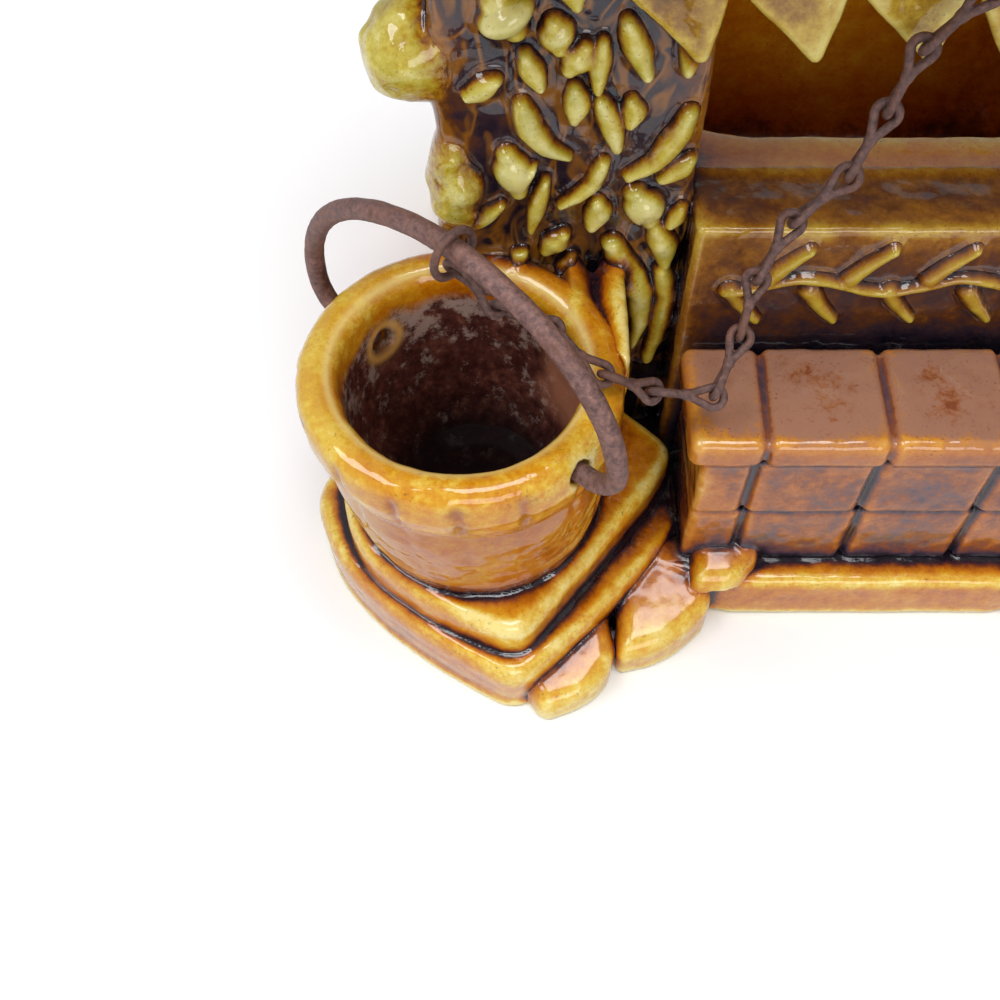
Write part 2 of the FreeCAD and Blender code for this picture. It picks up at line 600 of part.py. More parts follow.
def build():
    parts = {}
    lower = make_step(step_points(LOWER_STEP_OUTLINE, LOWER_STEP_HALF), 0, LOWER_STEP_HEIGHT)
    upper = make_step(step_points(UPPER_STEP_OUTLINE, UPPER_STEP_HALF), LOWER_STEP_HEIGHT, UPPER_STEP_TOP)
    bucket = make_bucket()
    hull = bucket_hull()
    plinth_space = make_plinth()
    stones = {}
    for name, (outline, z0, z1) in STONES.items():
        stone = rounded_prism(outline, z0, z1, STONE_EDGE_RADIUS, STONE_EDGE_RADIUS)
        stones[name] = main_solid(less(stone, [lower, upper] + list(stones.values())))
    plinth = main_solid(less(plinth_space, [lower, upper] + list(stones.values())))
    ground = [lower, upper, plinth] + list(stones.values())

    back = PANEL_FRONT
    low_course = make_course(PLINTH_HEIGHT, COURSE_SPLIT, WELL_HALF_WIDTH, WELL_FRONT, back, LOWER_BRICK_START)
    high_course = make_course(COURSE_SPLIT, COPING_BASE, WELL_HALF_WIDTH, WELL_FRONT, back, UPPER_BRICK_START)
    coping = make_coping()
    parts["well_course_lower"] = main_solid(less(low_course, ground))
    parts["well_course_upper"] = main_solid(less(high_course, ground))
    parts["well_coping"] = main_solid(coping)
    front_panel = box(-PANEL_HALF_WIDTH, PANEL_HALF_WIDTH, PANEL_FRONT, BASIN_FRONT, PLINTH_HEIGHT, BASIN_TOP)
    parts["front_panel"] = main_solid(less(front_panel, ground))
    parts["panel_sprig"] = make_panel_sprig()
    basin = main_solid(less(make_basin(), ground))
    parts["basin"] = basin
    post = make_post()
    left_post = main_solid(less(post, ground + [basin, hull]))
    right_post = main_solid(less(mirrored(post), ground + [basin]))
    parts["left_post"] = left_post
    parts["right_post"] = right_post
    strap = box(STRAP_LEFT, STRAP_RIGHT, STRAP_FRONT, POST_FRONT, UPPER_STEP_TOP, RIM_Z)
    strap = strap.makeFillet(1.0, level_edges(strap, RIM_Z))
    parts["bucket_strap"] = main_solid(less(strap, ground + [hull, left_post]))

    parts["valance_boards"] = make_valance()
    leaves = make_post_leaves([parts["bucket_strap"], parts["valance_boards"]])
    parts["left_post_leaves"] = leaves
    parts["right_post_leaves"] = mirrored(leaves)
    for name, size in LOBES.items():
        lobe = make_lobe(*size)
        parts["left_leaf_lobe_" + name] = main_solid(less(lobe, [left_post, hull, basin]))
        parts["right_leaf_lobe_" + name] = main_solid(less(mirrored(lobe), [right_post, basin]))

    front_slope = make_slope()
    back_slope = front_slope.mirror(V(0, RIDGE_Y, 0), V(0, 1, 0))
    parts["roof_deck"] = make_deck()
    parts["roof_front"] = front_slope
    parts["roof_back"] = back_slope
    slopes = [front_slope, back_slope]
    right_gable = make_gable(slopes)
    parts["gable_right"] = right_gable
    parts["gable_left"] = mirrored(right_gable)
    parts["ridge_cap"] = make_ridge(slopes + [right_gable, mirrored(right_gable)])

    parts["step_lower"] = lower
    parts["step_upper"] = upper
    parts["bucket"] = bucket
    parts["plinth"] = plinth
    parts.update(stones)

    frames = link_frames()
    parts["bail"] = make_bail()
    parts["chain_ring"] = make_ring()
    link = make_link()
    for i, frame in enumerate(frames):
        parts["chain_link_%02d" % (i + 1)] = place_link(link, frame)
    parts["anchor_eye"] = make_anchor_eye(frames)
    return parts


for node, shape in build().items():
    shape.exportStep("parts/%s.step" % node)
    print(node, len(shape.Solids), round(shape.Volume, 1), shape.isValid())
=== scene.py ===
import json
import math

import bpy
import numpy as np
import openvdb
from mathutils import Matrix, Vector

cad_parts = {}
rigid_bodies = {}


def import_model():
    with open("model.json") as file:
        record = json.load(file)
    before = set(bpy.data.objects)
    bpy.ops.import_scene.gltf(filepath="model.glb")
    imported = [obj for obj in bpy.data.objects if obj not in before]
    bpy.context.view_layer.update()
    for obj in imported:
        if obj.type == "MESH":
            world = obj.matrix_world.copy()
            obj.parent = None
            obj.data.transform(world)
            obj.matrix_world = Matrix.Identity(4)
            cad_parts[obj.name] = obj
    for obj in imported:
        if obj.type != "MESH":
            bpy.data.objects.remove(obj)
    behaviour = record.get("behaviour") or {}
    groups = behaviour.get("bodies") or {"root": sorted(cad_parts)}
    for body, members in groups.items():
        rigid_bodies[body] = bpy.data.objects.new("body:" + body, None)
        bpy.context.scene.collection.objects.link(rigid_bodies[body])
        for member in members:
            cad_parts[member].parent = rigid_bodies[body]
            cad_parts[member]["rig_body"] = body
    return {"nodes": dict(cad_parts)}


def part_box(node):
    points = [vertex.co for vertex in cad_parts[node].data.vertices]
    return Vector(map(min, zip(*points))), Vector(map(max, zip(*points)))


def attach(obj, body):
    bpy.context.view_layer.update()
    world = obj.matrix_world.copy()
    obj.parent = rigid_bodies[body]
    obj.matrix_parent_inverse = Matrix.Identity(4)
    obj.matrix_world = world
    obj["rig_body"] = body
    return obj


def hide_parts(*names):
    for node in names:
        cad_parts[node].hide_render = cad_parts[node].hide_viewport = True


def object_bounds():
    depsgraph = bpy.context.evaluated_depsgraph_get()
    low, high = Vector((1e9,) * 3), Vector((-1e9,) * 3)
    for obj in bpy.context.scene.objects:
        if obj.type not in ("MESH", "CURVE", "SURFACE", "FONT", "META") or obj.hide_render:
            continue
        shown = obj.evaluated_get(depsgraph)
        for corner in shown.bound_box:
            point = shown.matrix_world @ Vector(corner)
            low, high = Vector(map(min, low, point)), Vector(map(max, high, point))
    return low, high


# Wishing well planter: glazed pottery modelled as blended distance fields, in millimetres,
# meshed piece by piece, with swept and rusted wire for the bail and the chain.

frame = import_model()
cad_low, cad_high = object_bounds()
MM = 0.001
FINE = 0.3
MIDDLE = 0.37
COARSE = 0.6
BASIN_SPACING = 0.8
BLEND = 1.0
FAR = 9.0
CAD_LO = np.array(cad_low) / MM + 0.03
CAD_HI = np.array(cad_high) / MM - 0.03


# Grids and noise
class Grid:
    def __init__(self, i0, i1, h):
        self.i0 = np.array(i0, int)
        self.i1 = np.array(i1, int)
        self.h = h
        axes = [np.arange(a, b, dtype=np.float32) * np.float32(h) for a, b in zip(self.i0, self.i1)]
        self.axes = axes
        self.x = axes[0].reshape(-1, 1, 1)
        self.y = axes[1].reshape(1, -1, 1)
        self.z = axes[2].reshape(1, 1, -1)
        self.shape = tuple(self.i1 - self.i0)

    @staticmethod
    def around(lo, hi, pad, h):
        return Grid(np.floor((lo - pad) / h), np.ceil((hi + pad) / h) + 1, h)

    def window(self, lo, hi, pad):
        a = np.maximum(np.floor((lo - pad) / self.h).astype(int), self.i0)
        b = np.minimum(np.ceil((hi + pad) / self.h).astype(int) + 1, self.i1)
        if (b - a < 2).any():
            return None, None
        part = Grid(a, b, self.h)
        return part, tuple(slice(p - o, q - o) for p, q, o in zip(a, b, self.i0))


NOISE_SHIFTS = np.array([3.1, 5.7, 7.3])
LATTICE = np.random.RandomState(11).rand(32, 32, 32).astype(np.float32) * 2 - 1
WRAPPED = np.pad(LATTICE, [(0, 1)] * 3, mode="wrap")


def lattice_weights(c, scale, shift):
    t = c / scale + shift
    i = np.floor(t).astype(int)
    f = t - i
    f = f * f * (3 - 2 * f)
    w = np.zeros((len(c), 32), np.float32)
    rows = np.arange(len(c))
    w[rows, i % 32] += 1 - f
    w[rows, (i + 1) % 32] += f
    return w


def noise(g, scale, seed=0.0):
    shifts = (seed * NOISE_SHIFTS + 0.5).tolist()
    wx, wy, wz = (lattice_weights(c, scale, shift) for c, shift in zip(g.axes, shifts))
    a = np.tensordot(wx, LATTICE, (1, 0))
    a = np.tensordot(a, wy, (1, 1)).transpose(0, 2, 1)
    return np.tensordot(a, wz, (2, 1))


def corner_sum(values, i, f):
    """Mean of the eight cells around each point, weighted by the shares f."""
    total = 0
    for dx in (0, 1):
        for dy in (0, 1):
            for dz in (0, 1):
                w = f[:, 0] if dx else 1 - f[:, 0]
                w = w * (f[:, 1] if dy else 1 - f[:, 1])
                w = w * (f[:, 2] if dz else 1 - f[:, 2])
                total = total + w * values[i[:, 0] + dx, i[:, 1] + dy, i[:, 2] + dz]
    return total


def noise_at(p, scale, seed=0.0):
    t = p / scale + (seed * NOISE_SHIFTS + 0.5)
    i = np.floor(t).astype(int)
    f = t - i
    return corner_sum(WRAPPED, i % 32, f * f * (3 - 2 * f))


def blur(a, sigma):
    reach = max(1, int(round(2.4 * sigma)))
    taps = np.exp(-0.5 * (np.arange(-reach, reach + 1) / sigma) ** 2)
    taps = (taps / taps.sum()).astype(np.float32)
    for axis in range(3):
        n = a.shape[axis]
        padded = np.pad(a, [(reach, reach) if k == axis else (0, 0) for k in range(3)], mode="edge")
        total = None
        for k, w in enumerate(taps):
            cut = [slice(None)] * 3
            cut[axis] = slice(k, k + n)
            piece = padded[tuple(cut)] * w
            total = piece if total is None else total + piece
        a = total
    return a


def sample(a, g, p):
    t = (p / g.h - g.i0).astype(np.float32)
    t = np.clip(t, 0, np.array(g.shape) - 1.001)
    i = t.astype(int)
    return corner_sum(a, i, t - i)


# Distance shapes
def rmax(a, b, r):
    return np.minimum(-r, np.maximum(a, b)) + np.sqrt(np.maximum(a + r, 0) ** 2 + np.maximum(b + r, 0) ** 2)


def smin(a, b, k=BLEND):
    h = np.maximum(k - np.abs(a - b), 0) / k
    return np.minimum(a, b) - h * h * k * 0.25


def smax(a, b, k=BLEND):
    return -smin(-a, -b, k)


def nothing(g):
    return np.full(g.shape, FAR, np.float32)


def box(g, x0, x1, y0, y1, z0, z1, r=0.8):
    dx = np.abs(g.x - (x0 + x1) / 2) - (x1 - x0) / 2 + r
    dy = np.abs(g.y - (y0 + y1) / 2) - (y1 - y0) / 2 + r
    dz = np.abs(g.z - (z0 + z1) / 2) - (z1 - z0) / 2 + r
    out = np.sqrt(np.maximum(dx, 0) ** 2 + np.maximum(dy, 0) ** 2 + np.maximum(dz, 0) ** 2)
    return out + np.minimum(np.maximum(np.maximum(dx, dy), dz), 0) - r


def convex(u, v, points, corner):
    area = sum(a[0] * b[1] - a[1] * b[0] for a, b in zip(points, points[1:] + points[:1]))
    turn = 1 if area > 0 else -1
    d = None
    for (ax, ay), (bx, by) in zip(points, points[1:] + points[:1]):
        length = math.hypot(bx - ax, by - ay)
        nx, ny = turn * (by - ay) / length, -turn * (bx - ax) / length
        e = (u - ax) * nx + (v - ay) * ny
        d = e if d is None else rmax(d, e, corner)
    return d


def prism(g, points, z0, z1, corner, rim):
    d = convex(g.x, g.y, points, corner)
    return np.maximum(rmax(d, g.z - z1, rim), z0 - g.z)


def polygon(u, v, points):
    best = None
    inside = None
    for (ax, ay), (bx, by) in zip(points, points[1:] + points[:1]):
        ex, ey = bx - ax, by - ay
        t = np.clip(((u - ax) * ex + (v - ay) * ey) / (ex * ex + ey * ey), 0, 1)
        d = (u - ax - ex * t) ** 2 + (v - ay - ey * t) ** 2
        best = d if best is None else np.minimum(best, d)
        if ay != by:
            hit = ((v >= ay) != (v >= by)) & (u < ex * (v - ay) / ey + ax)
            inside = hit if inside is None else inside ^ hit
    return np.sqrt(best) * np.where(inside, -1, 1)


def stroke(u, v, points, w0, w1, taper=0.0):
    """Distance to a bent line in a plane and the half width beside it."""
    lengths = [math.dist(a, b) for a, b in zip(points, points[1:])]
    total = sum(lengths)
    best = None
    run = 0.0
    for (ax, ay), (bx, by), length in zip(points, points[1:], lengths):
        ex, ey = bx - ax, by - ay
        t = np.clip(((u - ax) * ex + (v - ay) * ey) / (length * length), 0, 1)
        d = np.sqrt((u - ax - ex * t) ** 2 + (v - ay - ey * t) ** 2)
        share = (run + t * length) / total
        w = (w0 + (w1 - w0) * share) * (1 - taper * (2 * share - 1) ** 2)
        d = d - w
        if best is None:
            best, width = d, w
        else:
            width = np.where(d < best, w, width)
            best = np.minimum(best, d)
        run += length
    return best, width


def fade(c, at, over):
    """Rises from 0 to 1 past a place, or falls to 0 before it if the width is negative."""
    return np.clip((c - at) / over, 0, 1)


def groove(distance, width, depth):
    return depth * np.exp(-(distance / width) ** 2)


# Sizes of the solids, in millimetres
STEP_X, STEP_Y = -50.0, -27.5
LOWER_TOP, UPPER_TOP, RIM_Z = 10.5, 16.5, 44.0
BUCKET_X, BUCKET_Y, LEAN = -56.0, -31.0, 0.07
COURSE_SPLIT, COPING_BASE, COPING_TOP, BASIN_TOP = 20.3, 31.3, 36.1, 53.0
PLINTH_TOP, WELL_FRONT, BRICK_LENGTH, STAVES = 9.0, -37.0, 15.0, 16
WELL_HALF, COPING_HALF, PANEL_FRONT = 26.5, 28.5, -19.0
POST_OUTER, POST_INNER, POST_FRONT = -58.6, -28.5, -14.0
DECK_BASE, DECK_TOP, RIDGE_Z, RIDGE_Y = 97.0, 101.0, 167.0, 7.0
ROOF_HALF, ROOF_FRONT, ROOF_BACK = 68.0, -27.0, 41.0
BOARD_WIDTH, SHINGLE_WIDTH, SHINGLE_ROWS = 11.4, 17.0, 5
RUN, CLIMB = RIDGE_Y - ROOF_FRONT, RIDGE_Z - DECK_TOP
SLOPE_LENGTH = math.hypot(RUN, CLIMB)


LOWER_OUTLINE = [
    (0.03, -1.0), (0.30, -0.81), (0.62, -0.47), (0.86, -0.18), (0.94, -0.02), (0.78, 0.30), (0.0, 1.0),
    (-0.76, 0.34), (-0.95, 0.06), (-0.90, -0.22), (-0.77, -0.44), (-0.60, -0.62), (-0.42, -0.76),
    (-0.21, -0.90),
]
UPPER_OUTLINE = [
    (0.05, -1.0), (0.72, -0.21), (0.88, 0.02), (0.92, 0.16), (0.70, 0.42), (0.0, 1.0), (-0.78, 0.32),
    (-0.94, 0.10), (-0.935, -0.06), (-0.90, -0.25), (-0.84, -0.42), (-0.70, -0.60), (-0.45, -0.79),
    (-0.20, -0.93),
]


def step_outline(shares, half):
    return [(STEP_X + half * u, STEP_Y + half * v) for u, v in shares]


def step_lower(g):
    ledge = convex(g.x, g.y, step_outline(LOWER_OUTLINE, 28.8), 3.0)
    d = np.maximum(rmax(ledge, g.z - LOWER_TOP, 2.2), -g.z)
    side = ledge > -3
    return d - groove(g.z - 7.8, 1.6, 0.3) * side + groove(g.z - 2.4, 1.6, 0.45) * side


def step_upper(g):
    return prism(g, step_outline(UPPER_OUTLINE, 25.6), LOWER_TOP, UPPER_TOP, 3.0, 2.2)


def bucket_profile():
    outer = [(0, 16.5), (15.6, 16.5), (16.5, 19.5), (17.3, 24.5), (18.0, 30.0), (18.1, 34.4)]
    outer += [(18.9, 36.6), (19.4, 38.8), (19.4, 41.0)]
    lip = []
    for a in np.linspace(0.0, math.pi, 12)[1:]:
        lip.append((16.8 + 2.6 * math.cos(a), 41.3 + 2.7 * math.sin(a)))
    inner = [(14.0, 38.0), (13.7, 32.0), (13.0, 26.5), (11.6, 22.0), (9.2, 19.4), (6.5, 18.4), (0, 18.2)]
    return outer + lip + inner


TABLE_STEP = 0.1
TABLE_BASE = 10
TABLE_RHO = np.arange(0, 26, TABLE_STEP).reshape(-1, 1)
TABLE_Z = np.arange(TABLE_BASE, 50, TABLE_STEP).reshape(1, -1)
TABLE = polygon(TABLE_RHO, TABLE_Z, bucket_profile()).astype(np.float32)


def table_lookup(rho, z):
    u = np.clip(rho / TABLE_STEP, 0, TABLE.shape[0] - 1.001)
    v = np.clip((z - TABLE_BASE) / TABLE_STEP, 0, TABLE.shape[1] - 1.001) + 0 * u
    i, j = u.astype(int), v.astype(int)
    f, e = u - i, v - j
    low = TABLE[i, j] * (1 - f) + TABLE[i + 1, j] * f
    high = TABLE[i, j + 1] * (1 - f) + TABLE[i + 1, j + 1] * f
    return low * (1 - e) + high * e


def heading(azimuth, rise):
    """Unit vector at an azimuth from +X and a rise over the floor."""
    return np.array([math.cos(rise) * math.cos(azimuth), math.cos(rise) * math.sin(azimuth), math.sin(rise)])


BAIL_AZIMUTH, BAIL_TILT = math.radians(-44.0), math.radians(8.0)
BAIL_OUT = heading(BAIL_AZIMUTH, BAIL_TILT)
BAIL_CENTRE = np.array([BUCKET_X, BUCKET_Y, RIM_Z - 5.75])
BORE_RADIUS = 1.62


def from_bail_axis(x, y, z):
    px, py, pz = x - BAIL_CENTRE[0], y - BAIL_CENTRE[1], z - BAIL_CENTRE[2]
    along = px * BAIL_OUT[0] + py * BAIL_OUT[1] + pz * BAIL_OUT[2]
    return np.sqrt(np.maximum(px * px + py * py + pz * pz - along * along, 1e-6))


def from_bucket_axis(x, y, z):
    """Distance to the leaning axis of the bucket, and along the wall to the nearest joint of its staves."""
    px, py = x - BUCKET_X + LEAN * (z - RIM_Z), y - BUCKET_Y
    rho = np.sqrt(px * px + py * py)
    turn = np.arctan2(py, px) / (2 * math.pi) * STAVES
    return rho, np.abs(turn - np.round(turn)) / STAVES * 2 * math.pi * rho


def bucket(g):
    rho, apart = from_bucket_axis(g.x, g.y, g.z)
    d = table_lookup(rho, g.z) + 0.1
    outside = fade(rho, 16.3, 0.8)
    band = fade(g.z, 35.6, 1.2) * fade(g.z, 42.6, -1.4)
    body = fade(g.z, 18.0, 1.5) * fade(g.z, 35.0, -1.5)
    d = d + groove(apart, 0.55, 0.42) * outside * band
    d = d + groove(apart, 0.8, 0.16) * outside * body
    d = d + groove(g.z - 25.4, 1.2, 0.12) * outside
    return smax(d, BORE_RADIUS - from_bail_axis(g.x, g.y, g.z), 0.5)


def strap(g):
    d = box(g, -52.0, -35.9, -31.0, -13.0, UPPER_TOP - 0.5, RIM_Z, 1.5)
    d = np.maximum(d, -46.8 - g.x - 0.9 * (g.y + 19.0))
    rho, _ = from_bucket_axis(g.x, g.y, g.z)
    ledge = fade(g.x, -42.6, -1.0) * fade(g.y, -24.0, 1.5)
    d = smax(d, g.z - RIM_Z + 1.9 * ledge, 0.8)
    furrow = -39.0 - 0.06 * (g.y + 28)
    d = d + groove(g.x - furrow, 1.3, 1.9) * fade(g.z, 38.5, 3)
    return smax(d, 16.2 - rho, 0.8)


def joints(half, start):
    """Where the brick joints stand on a course of that half width."""
    return np.arange(-half + start, half - 3, BRICK_LENGTH).tolist()


def course(z0, z1, start):
    """Bricks whose joints start that far from the left end. Only the upper course has a joint below it."""
    def field(g):
        d = box(g, -WELL_HALF, WELL_HALF, WELL_FRONT, -19.5, z0, z1 + 0.4, 0.9)
        d = np.maximum(d, z0 - g.z)
        cut = sum(groove(g.x - x, 0.62, 0.85) for x in joints(WELL_HALF, start))
        under = groove(g.z - z0, 0.6, 0.5) * (z0 > PLINTH_TOP)
        return d + cut * fade(g.y, WELL_FRONT + 2.5, -2) + under
    return field


def coping(g):
    d = box(g, -COPING_HALF, COPING_HALF, -37.6, -21.7, COPING_BASE, COPING_TOP, 1.5)
    for x in joints(COPING_HALF, 9.5):
        d = d + groove(g.x - x - 0.03 * (g.y + 30), 0.6, 0.75)
    return d


def plinth(g):
    outline = [(-30, -41), (30, -41), (61, -14), (61, 50), (-61, 50), (-61, -14)]
    return prism(g, outline, 0, PLINTH_TOP, 9.0, 1.5)


# Foot, top, fall of the top to the front, and outline from above of each boulder
STONES = {
    "stone_left_front": (0.0, 7.4, 0.24, [
        (-49.0, -52.0), (-45.6, -57.6), (-39.6, -55.6), (-35.6, -51.0), (-36.6, -42.0), (-44.0, -42.0)]),
    "stone_left_middle": (0.0, 9.6, 0.24, [
        (-35.4, -50.6), (-28.4, -48.8), (-22.0, -43.4), (-22.6, -32.0), (-35.4, -34.0)]),
    "stone_left_back": (9.0, 13.0, 0.24, [
        (-25.4, -42.0), (-19.4, -42.0), (-15.4, -37.8), (-16.4, -32.6), (-24.6, -31.0)]),
    "stone_right_front": (0.0, 12.5, 0.0, [
        (34.0, -50.0), (46.0, -54.0), (57.0, -49.0), (60.0, -38.0), (40.0, -30.0), (31.0, -39.0)]),
    "stone_right_outer": (0.0, 11.0, 0.0, [
        (62.0, -46.0), (71.0, -40.0), (76.0, -29.0), (72.0, -18.0), (60.0, -18.0), (58.0, -34.0)]),
    "stone_right_upper": (12.5, 23.0, 0.24, [
        (40.0, -46.0), (53.0, -47.0), (61.0, -35.0), (56.0, -22.0), (42.0, -20.0), (36.0, -33.0)]),
}


def stone(name):
    z0, z1, tilt, outline = STONES[name]
    ys = [y for _, y in outline]
    back = min(ys) + 0.8 * (max(ys) - min(ys))
    foot = z0 - 1.0 if z0 else 0.0

    def field(g):
        top = g.z - z1 + tilt * np.maximum(back - g.y, 0)
        d = np.maximum(rmax(convex(g.x, g.y, outline, 1.5), top, 2.4), foot - g.z)
        return d + 0.2 * noise(g, 5.5, 3.0) + 0.03 * noise(g, 1.9, 5.0) + 0.1
    return field


def front_panel(g):
    return box(g, POST_INNER, -POST_INNER, PANEL_FRONT, -8.0, PLINTH_TOP, BASIN_TOP, 0.9)


def basin(g):
    outline = convex(g.x, g.y, [(-58, -30), (58, -30), (58, 48), (-58, 48)], 9.0)
    d = rmax(box(g, -58, 58, -10, 60, PLINTH_TOP, BASIN_TOP, 1.0), outline, 1.0)
    hollow = convex(g.x, g.y, [(-34, -2), (34, -2), (34, 42), (-34, 42)], 14.0)
    hollow = np.maximum(rmax(hollow, 14.0 - g.z, 4.0), g.z - 60)
    return smax(d, -hollow, 2.2)


def post(g):
    d = box(g, POST_OUTER, POST_INNER, POST_FRONT, -8, PLINTH_TOP, 60, 1.6)
    d = np.minimum(d, box(g, POST_OUTER, POST_INNER, POST_FRONT, -2, BASIN_TOP, 99, 1.6))
    d = smin(d, box(g, POST_OUTER, -34.5, -6, 14, BASIN_TOP, 99, 1.6), 0.6)
    d = smin(d, box(g, POST_OUTER, -56, -12, 14, PLINTH_TOP, 60, 1.6), 0.6)
    wave = 0.3 * noise(g, 6.0, 1.0) + 0.18 * noise(g, 2.6, 2.0)
    return np.maximum(d + 0.12 + np.maximum(wave, -0.1), g.z - DECK_BASE - 0.5)


# Raised leaves: centre line in X and Z, half width at each end
LEAVES = [
    ([(-45.9, 76.9), (-45.5, 75.6), (-45.1, 74.1)], 1.19, 1.1),
    ([(-42.6, 74.1), (-43.2, 72.8), (-44.0, 71.5)], 1.12, 1.0),
    ([(-48.6, 73.1), (-48.0, 71.3), (-47.0, 69.3)], 0.82, 0.8),
    ([(-40.8, 74.8), (-40.9, 71.9), (-40.9, 69.0)], 0.71, 0.7),
    ([(-38.5, 77.1), (-37.4, 73.9), (-35.9, 71.0)], 0.89, 0.8),
    ([(-54.6, 68.3), (-53.3, 68.8), (-51.6, 70.0)], 0.84, 0.8),
    ([(-43.3, 69.0), (-42.9, 67.1), (-43.2, 65.1)], 0.95, 0.8),
    ([(-48.9, 66.8), (-47.9, 63.5), (-46.2, 61.3), (-43.4, 59.9)], 1.17, 0.53),
    ([(-40.5, 67.5), (-39.3, 64.9), (-38.3, 61.3)], 0.85, 0.8),
    ([(-37.2, 67.5), (-36.8, 65.9), (-37.2, 64.6)], 0.85, 0.8),
    ([(-50.4, 60.0), (-49.7, 57.6), (-49.1, 54.9)], 1.34, 1.2),
    ([(-49.1, 55.5), (-47.3, 58.6)], 0.57, 0.34),
    ([(-39.6, 59.0), (-40.5, 56.1), (-42.2, 54.3), (-44.2, 52.9)], 0.79, 0.45),
    ([(-46.0, 56.4), (-46.6, 53.4), (-47.5, 48.9)], 0.68, 0.6),
    ([(-39.9, 53.1), (-39.6, 51.5), (-40.3, 49.6)], 1.05, 0.9),
    ([(-51.0, 52.7), (-52.4, 51.3), (-53.8, 49.7)], 0.58, 0.58),
    ([(-43.6, 48.1), (-44.4, 46.9), (-45.6, 45.4)], 1.08, 1.0),
    ([(-48.3, 45.1), (-49.2, 43.9)], 0.73, 0.73),
    ([(-42.5, 44.2), (-43.2, 42.8), (-43.7, 41.4)], 0.74, 0.74),
    ([(-35.5, 54.4), (-34.2, 52.3), (-33.5, 50.5)], 1.50, 1.3),
    ([(-30.0, 52.2), (-30.4, 51.0), (-31.0, 49.9)], 0.75, 0.75),
    ([(-37.6, 46.4), (-36.1, 43.2), (-33.4, 37.8), (-32.8, 32.4), (-33.4, 27.8)], 1.45, 0.61),
    ([(-32.7, 49.2), (-31.3, 46.1), (-30.9, 43.2)], 1.07, 1.0),
    ([(-31.1, 42.1), (-29.9, 37.2), (-30.4, 30.4), (-31.5, 22.9)], 1.1, 0.62),
    ([(-30.8, 65.9), (-31.5, 63.2), (-33.8, 59.0), (-36.7, 57.3)], 1.07, 0.64),
    ([(-29.9, 59.6), (-30.7, 58.5), (-32.9, 56.7)], 0.95, 0.67),
    ([(-51.5, 79.3), (-49.7, 76.2)], 2.0, 1.6),
    ([(-54.8, 89.0), (-53.2, 87.0), (-52.6, 84.4)], 1.9, 1.2),
    ([(-47.4, 90.0), (-46.2, 87.0), (-46.6, 84.6)], 1.4, 0.9),
    ([(-40.6, 89.0), (-39.4, 86.2), (-38.4, 83.0)], 1.4, 0.8),
    ([(-45.6, 82.6), (-44.2, 81.0), (-43.6, 79.0)], 1.3, 0.8),
    ([(-34.6, 84.6), (-35.2, 82.0), (-37.2, 80.2)], 1.1, 0.7),
    ([(-51.2, 93.4), (-49.4, 92.0)], 1.5, 0.9),
    ([(-43.4, 94.4), (-42.2, 92.0)], 1.3, 0.9),
    ([(-35.4, 92.6), (-34.6, 89.6)], 1.3, 0.9),
    ([(-32.2, 78.6), (-31.4, 75.2), (-31.8, 71.4)], 1.1, 0.8),
    ([(-56.6, 95.0), (-57.0, 92.6)], 1.2, 0.9),
]
LEAF_RISE, LEAF_TAPER, LEAF_WIDE = 1.75, 0.45, 1.75


def raised(g, leaves, face, rise, taper=0.0, wide=1.0):
    out = nothing(g)
    for points, w0, w1 in leaves:
        w0, w1 = w0 * wide, w1 * wide
        xs, zs = [p[0] for p in points], [p[1] for p in points]
        w = max(w0, w1)
        low = np.array([min(xs) - w, face - rise, min(zs) - w])
        high = np.array([max(xs) + w, face + 1.5, max(zs) + w])
        part, cut = g.window(low, high, 2.2)
        if part is None:
            continue
        flat, width = stroke(part.x, part.z, points, w0, w1, taper)
        depth = (part.y - face) * np.minimum(width, 1.6) / rise
        d = np.sqrt(np.maximum(flat + width, 0) ** 2 + depth * depth) - width
        out[cut] = np.minimum(out[cut], d)
    return out


def post_leaves(g):
    return raised(g, LEAVES, POST_FRONT, LEAF_RISE, LEAF_TAPER, LEAF_WIDE) + 0.08 * noise(g, 1.6, 4.0)


def sprig_strokes():
    middle = (COPING_TOP + BASIN_TOP) / 2
    strokes = []
    wave = [(x, middle + 1.1 * math.sin(x / 3.06)) for x in np.linspace(-24, 24, 33)]
    strokes.append((wave, 0.8, 0.8))
    for i in range(-2, 3):
        for side in (1, -1):
            x = i * 9.6 + side * 2.2
            root = (x - 2.0, middle + side * 1.0)
            strokes.append(([root, (x - 0.4, middle + side * 3.4), (x + 1.9, middle + side * 5.9)], 1.35, 0.75))
    return strokes


SPRIG = sprig_strokes()


def panel_sprig(g):
    return raised(g, SPRIG, PANEL_FRONT, 1.5) + 0.05 * noise(g, 1.6, 4.0)


def lobe(x, y, z, rx, ry, rz, seed):
    def field(g):
        px, py, pz = (g.x - x) / rx, (g.y - y) / ry, (g.z - z) / rz
        k = np.sqrt(px * px + py * py + pz * pz)
        d = (k - 1) * min(rx, ry, rz)
        return d + 0.3 + 0.55 * noise(g, 3.4, seed) + 0.22 * noise(g, 1.7, seed + 1)
    return field


# Roof
def roof_deck(g):
    d = box(g, -ROOF_HALF, ROOF_HALF, ROOF_FRONT, ROOF_BACK, DECK_BASE, DECK_TOP + 0.6, 1.3)
    boards = groove((g.x + 0.5) % BOARD_WIDTH - BOARD_WIDTH / 2, 0.5, 0.4) * (g.z < 98.6)
    return np.maximum(d, g.z - DECK_TOP - 0.4) + boards


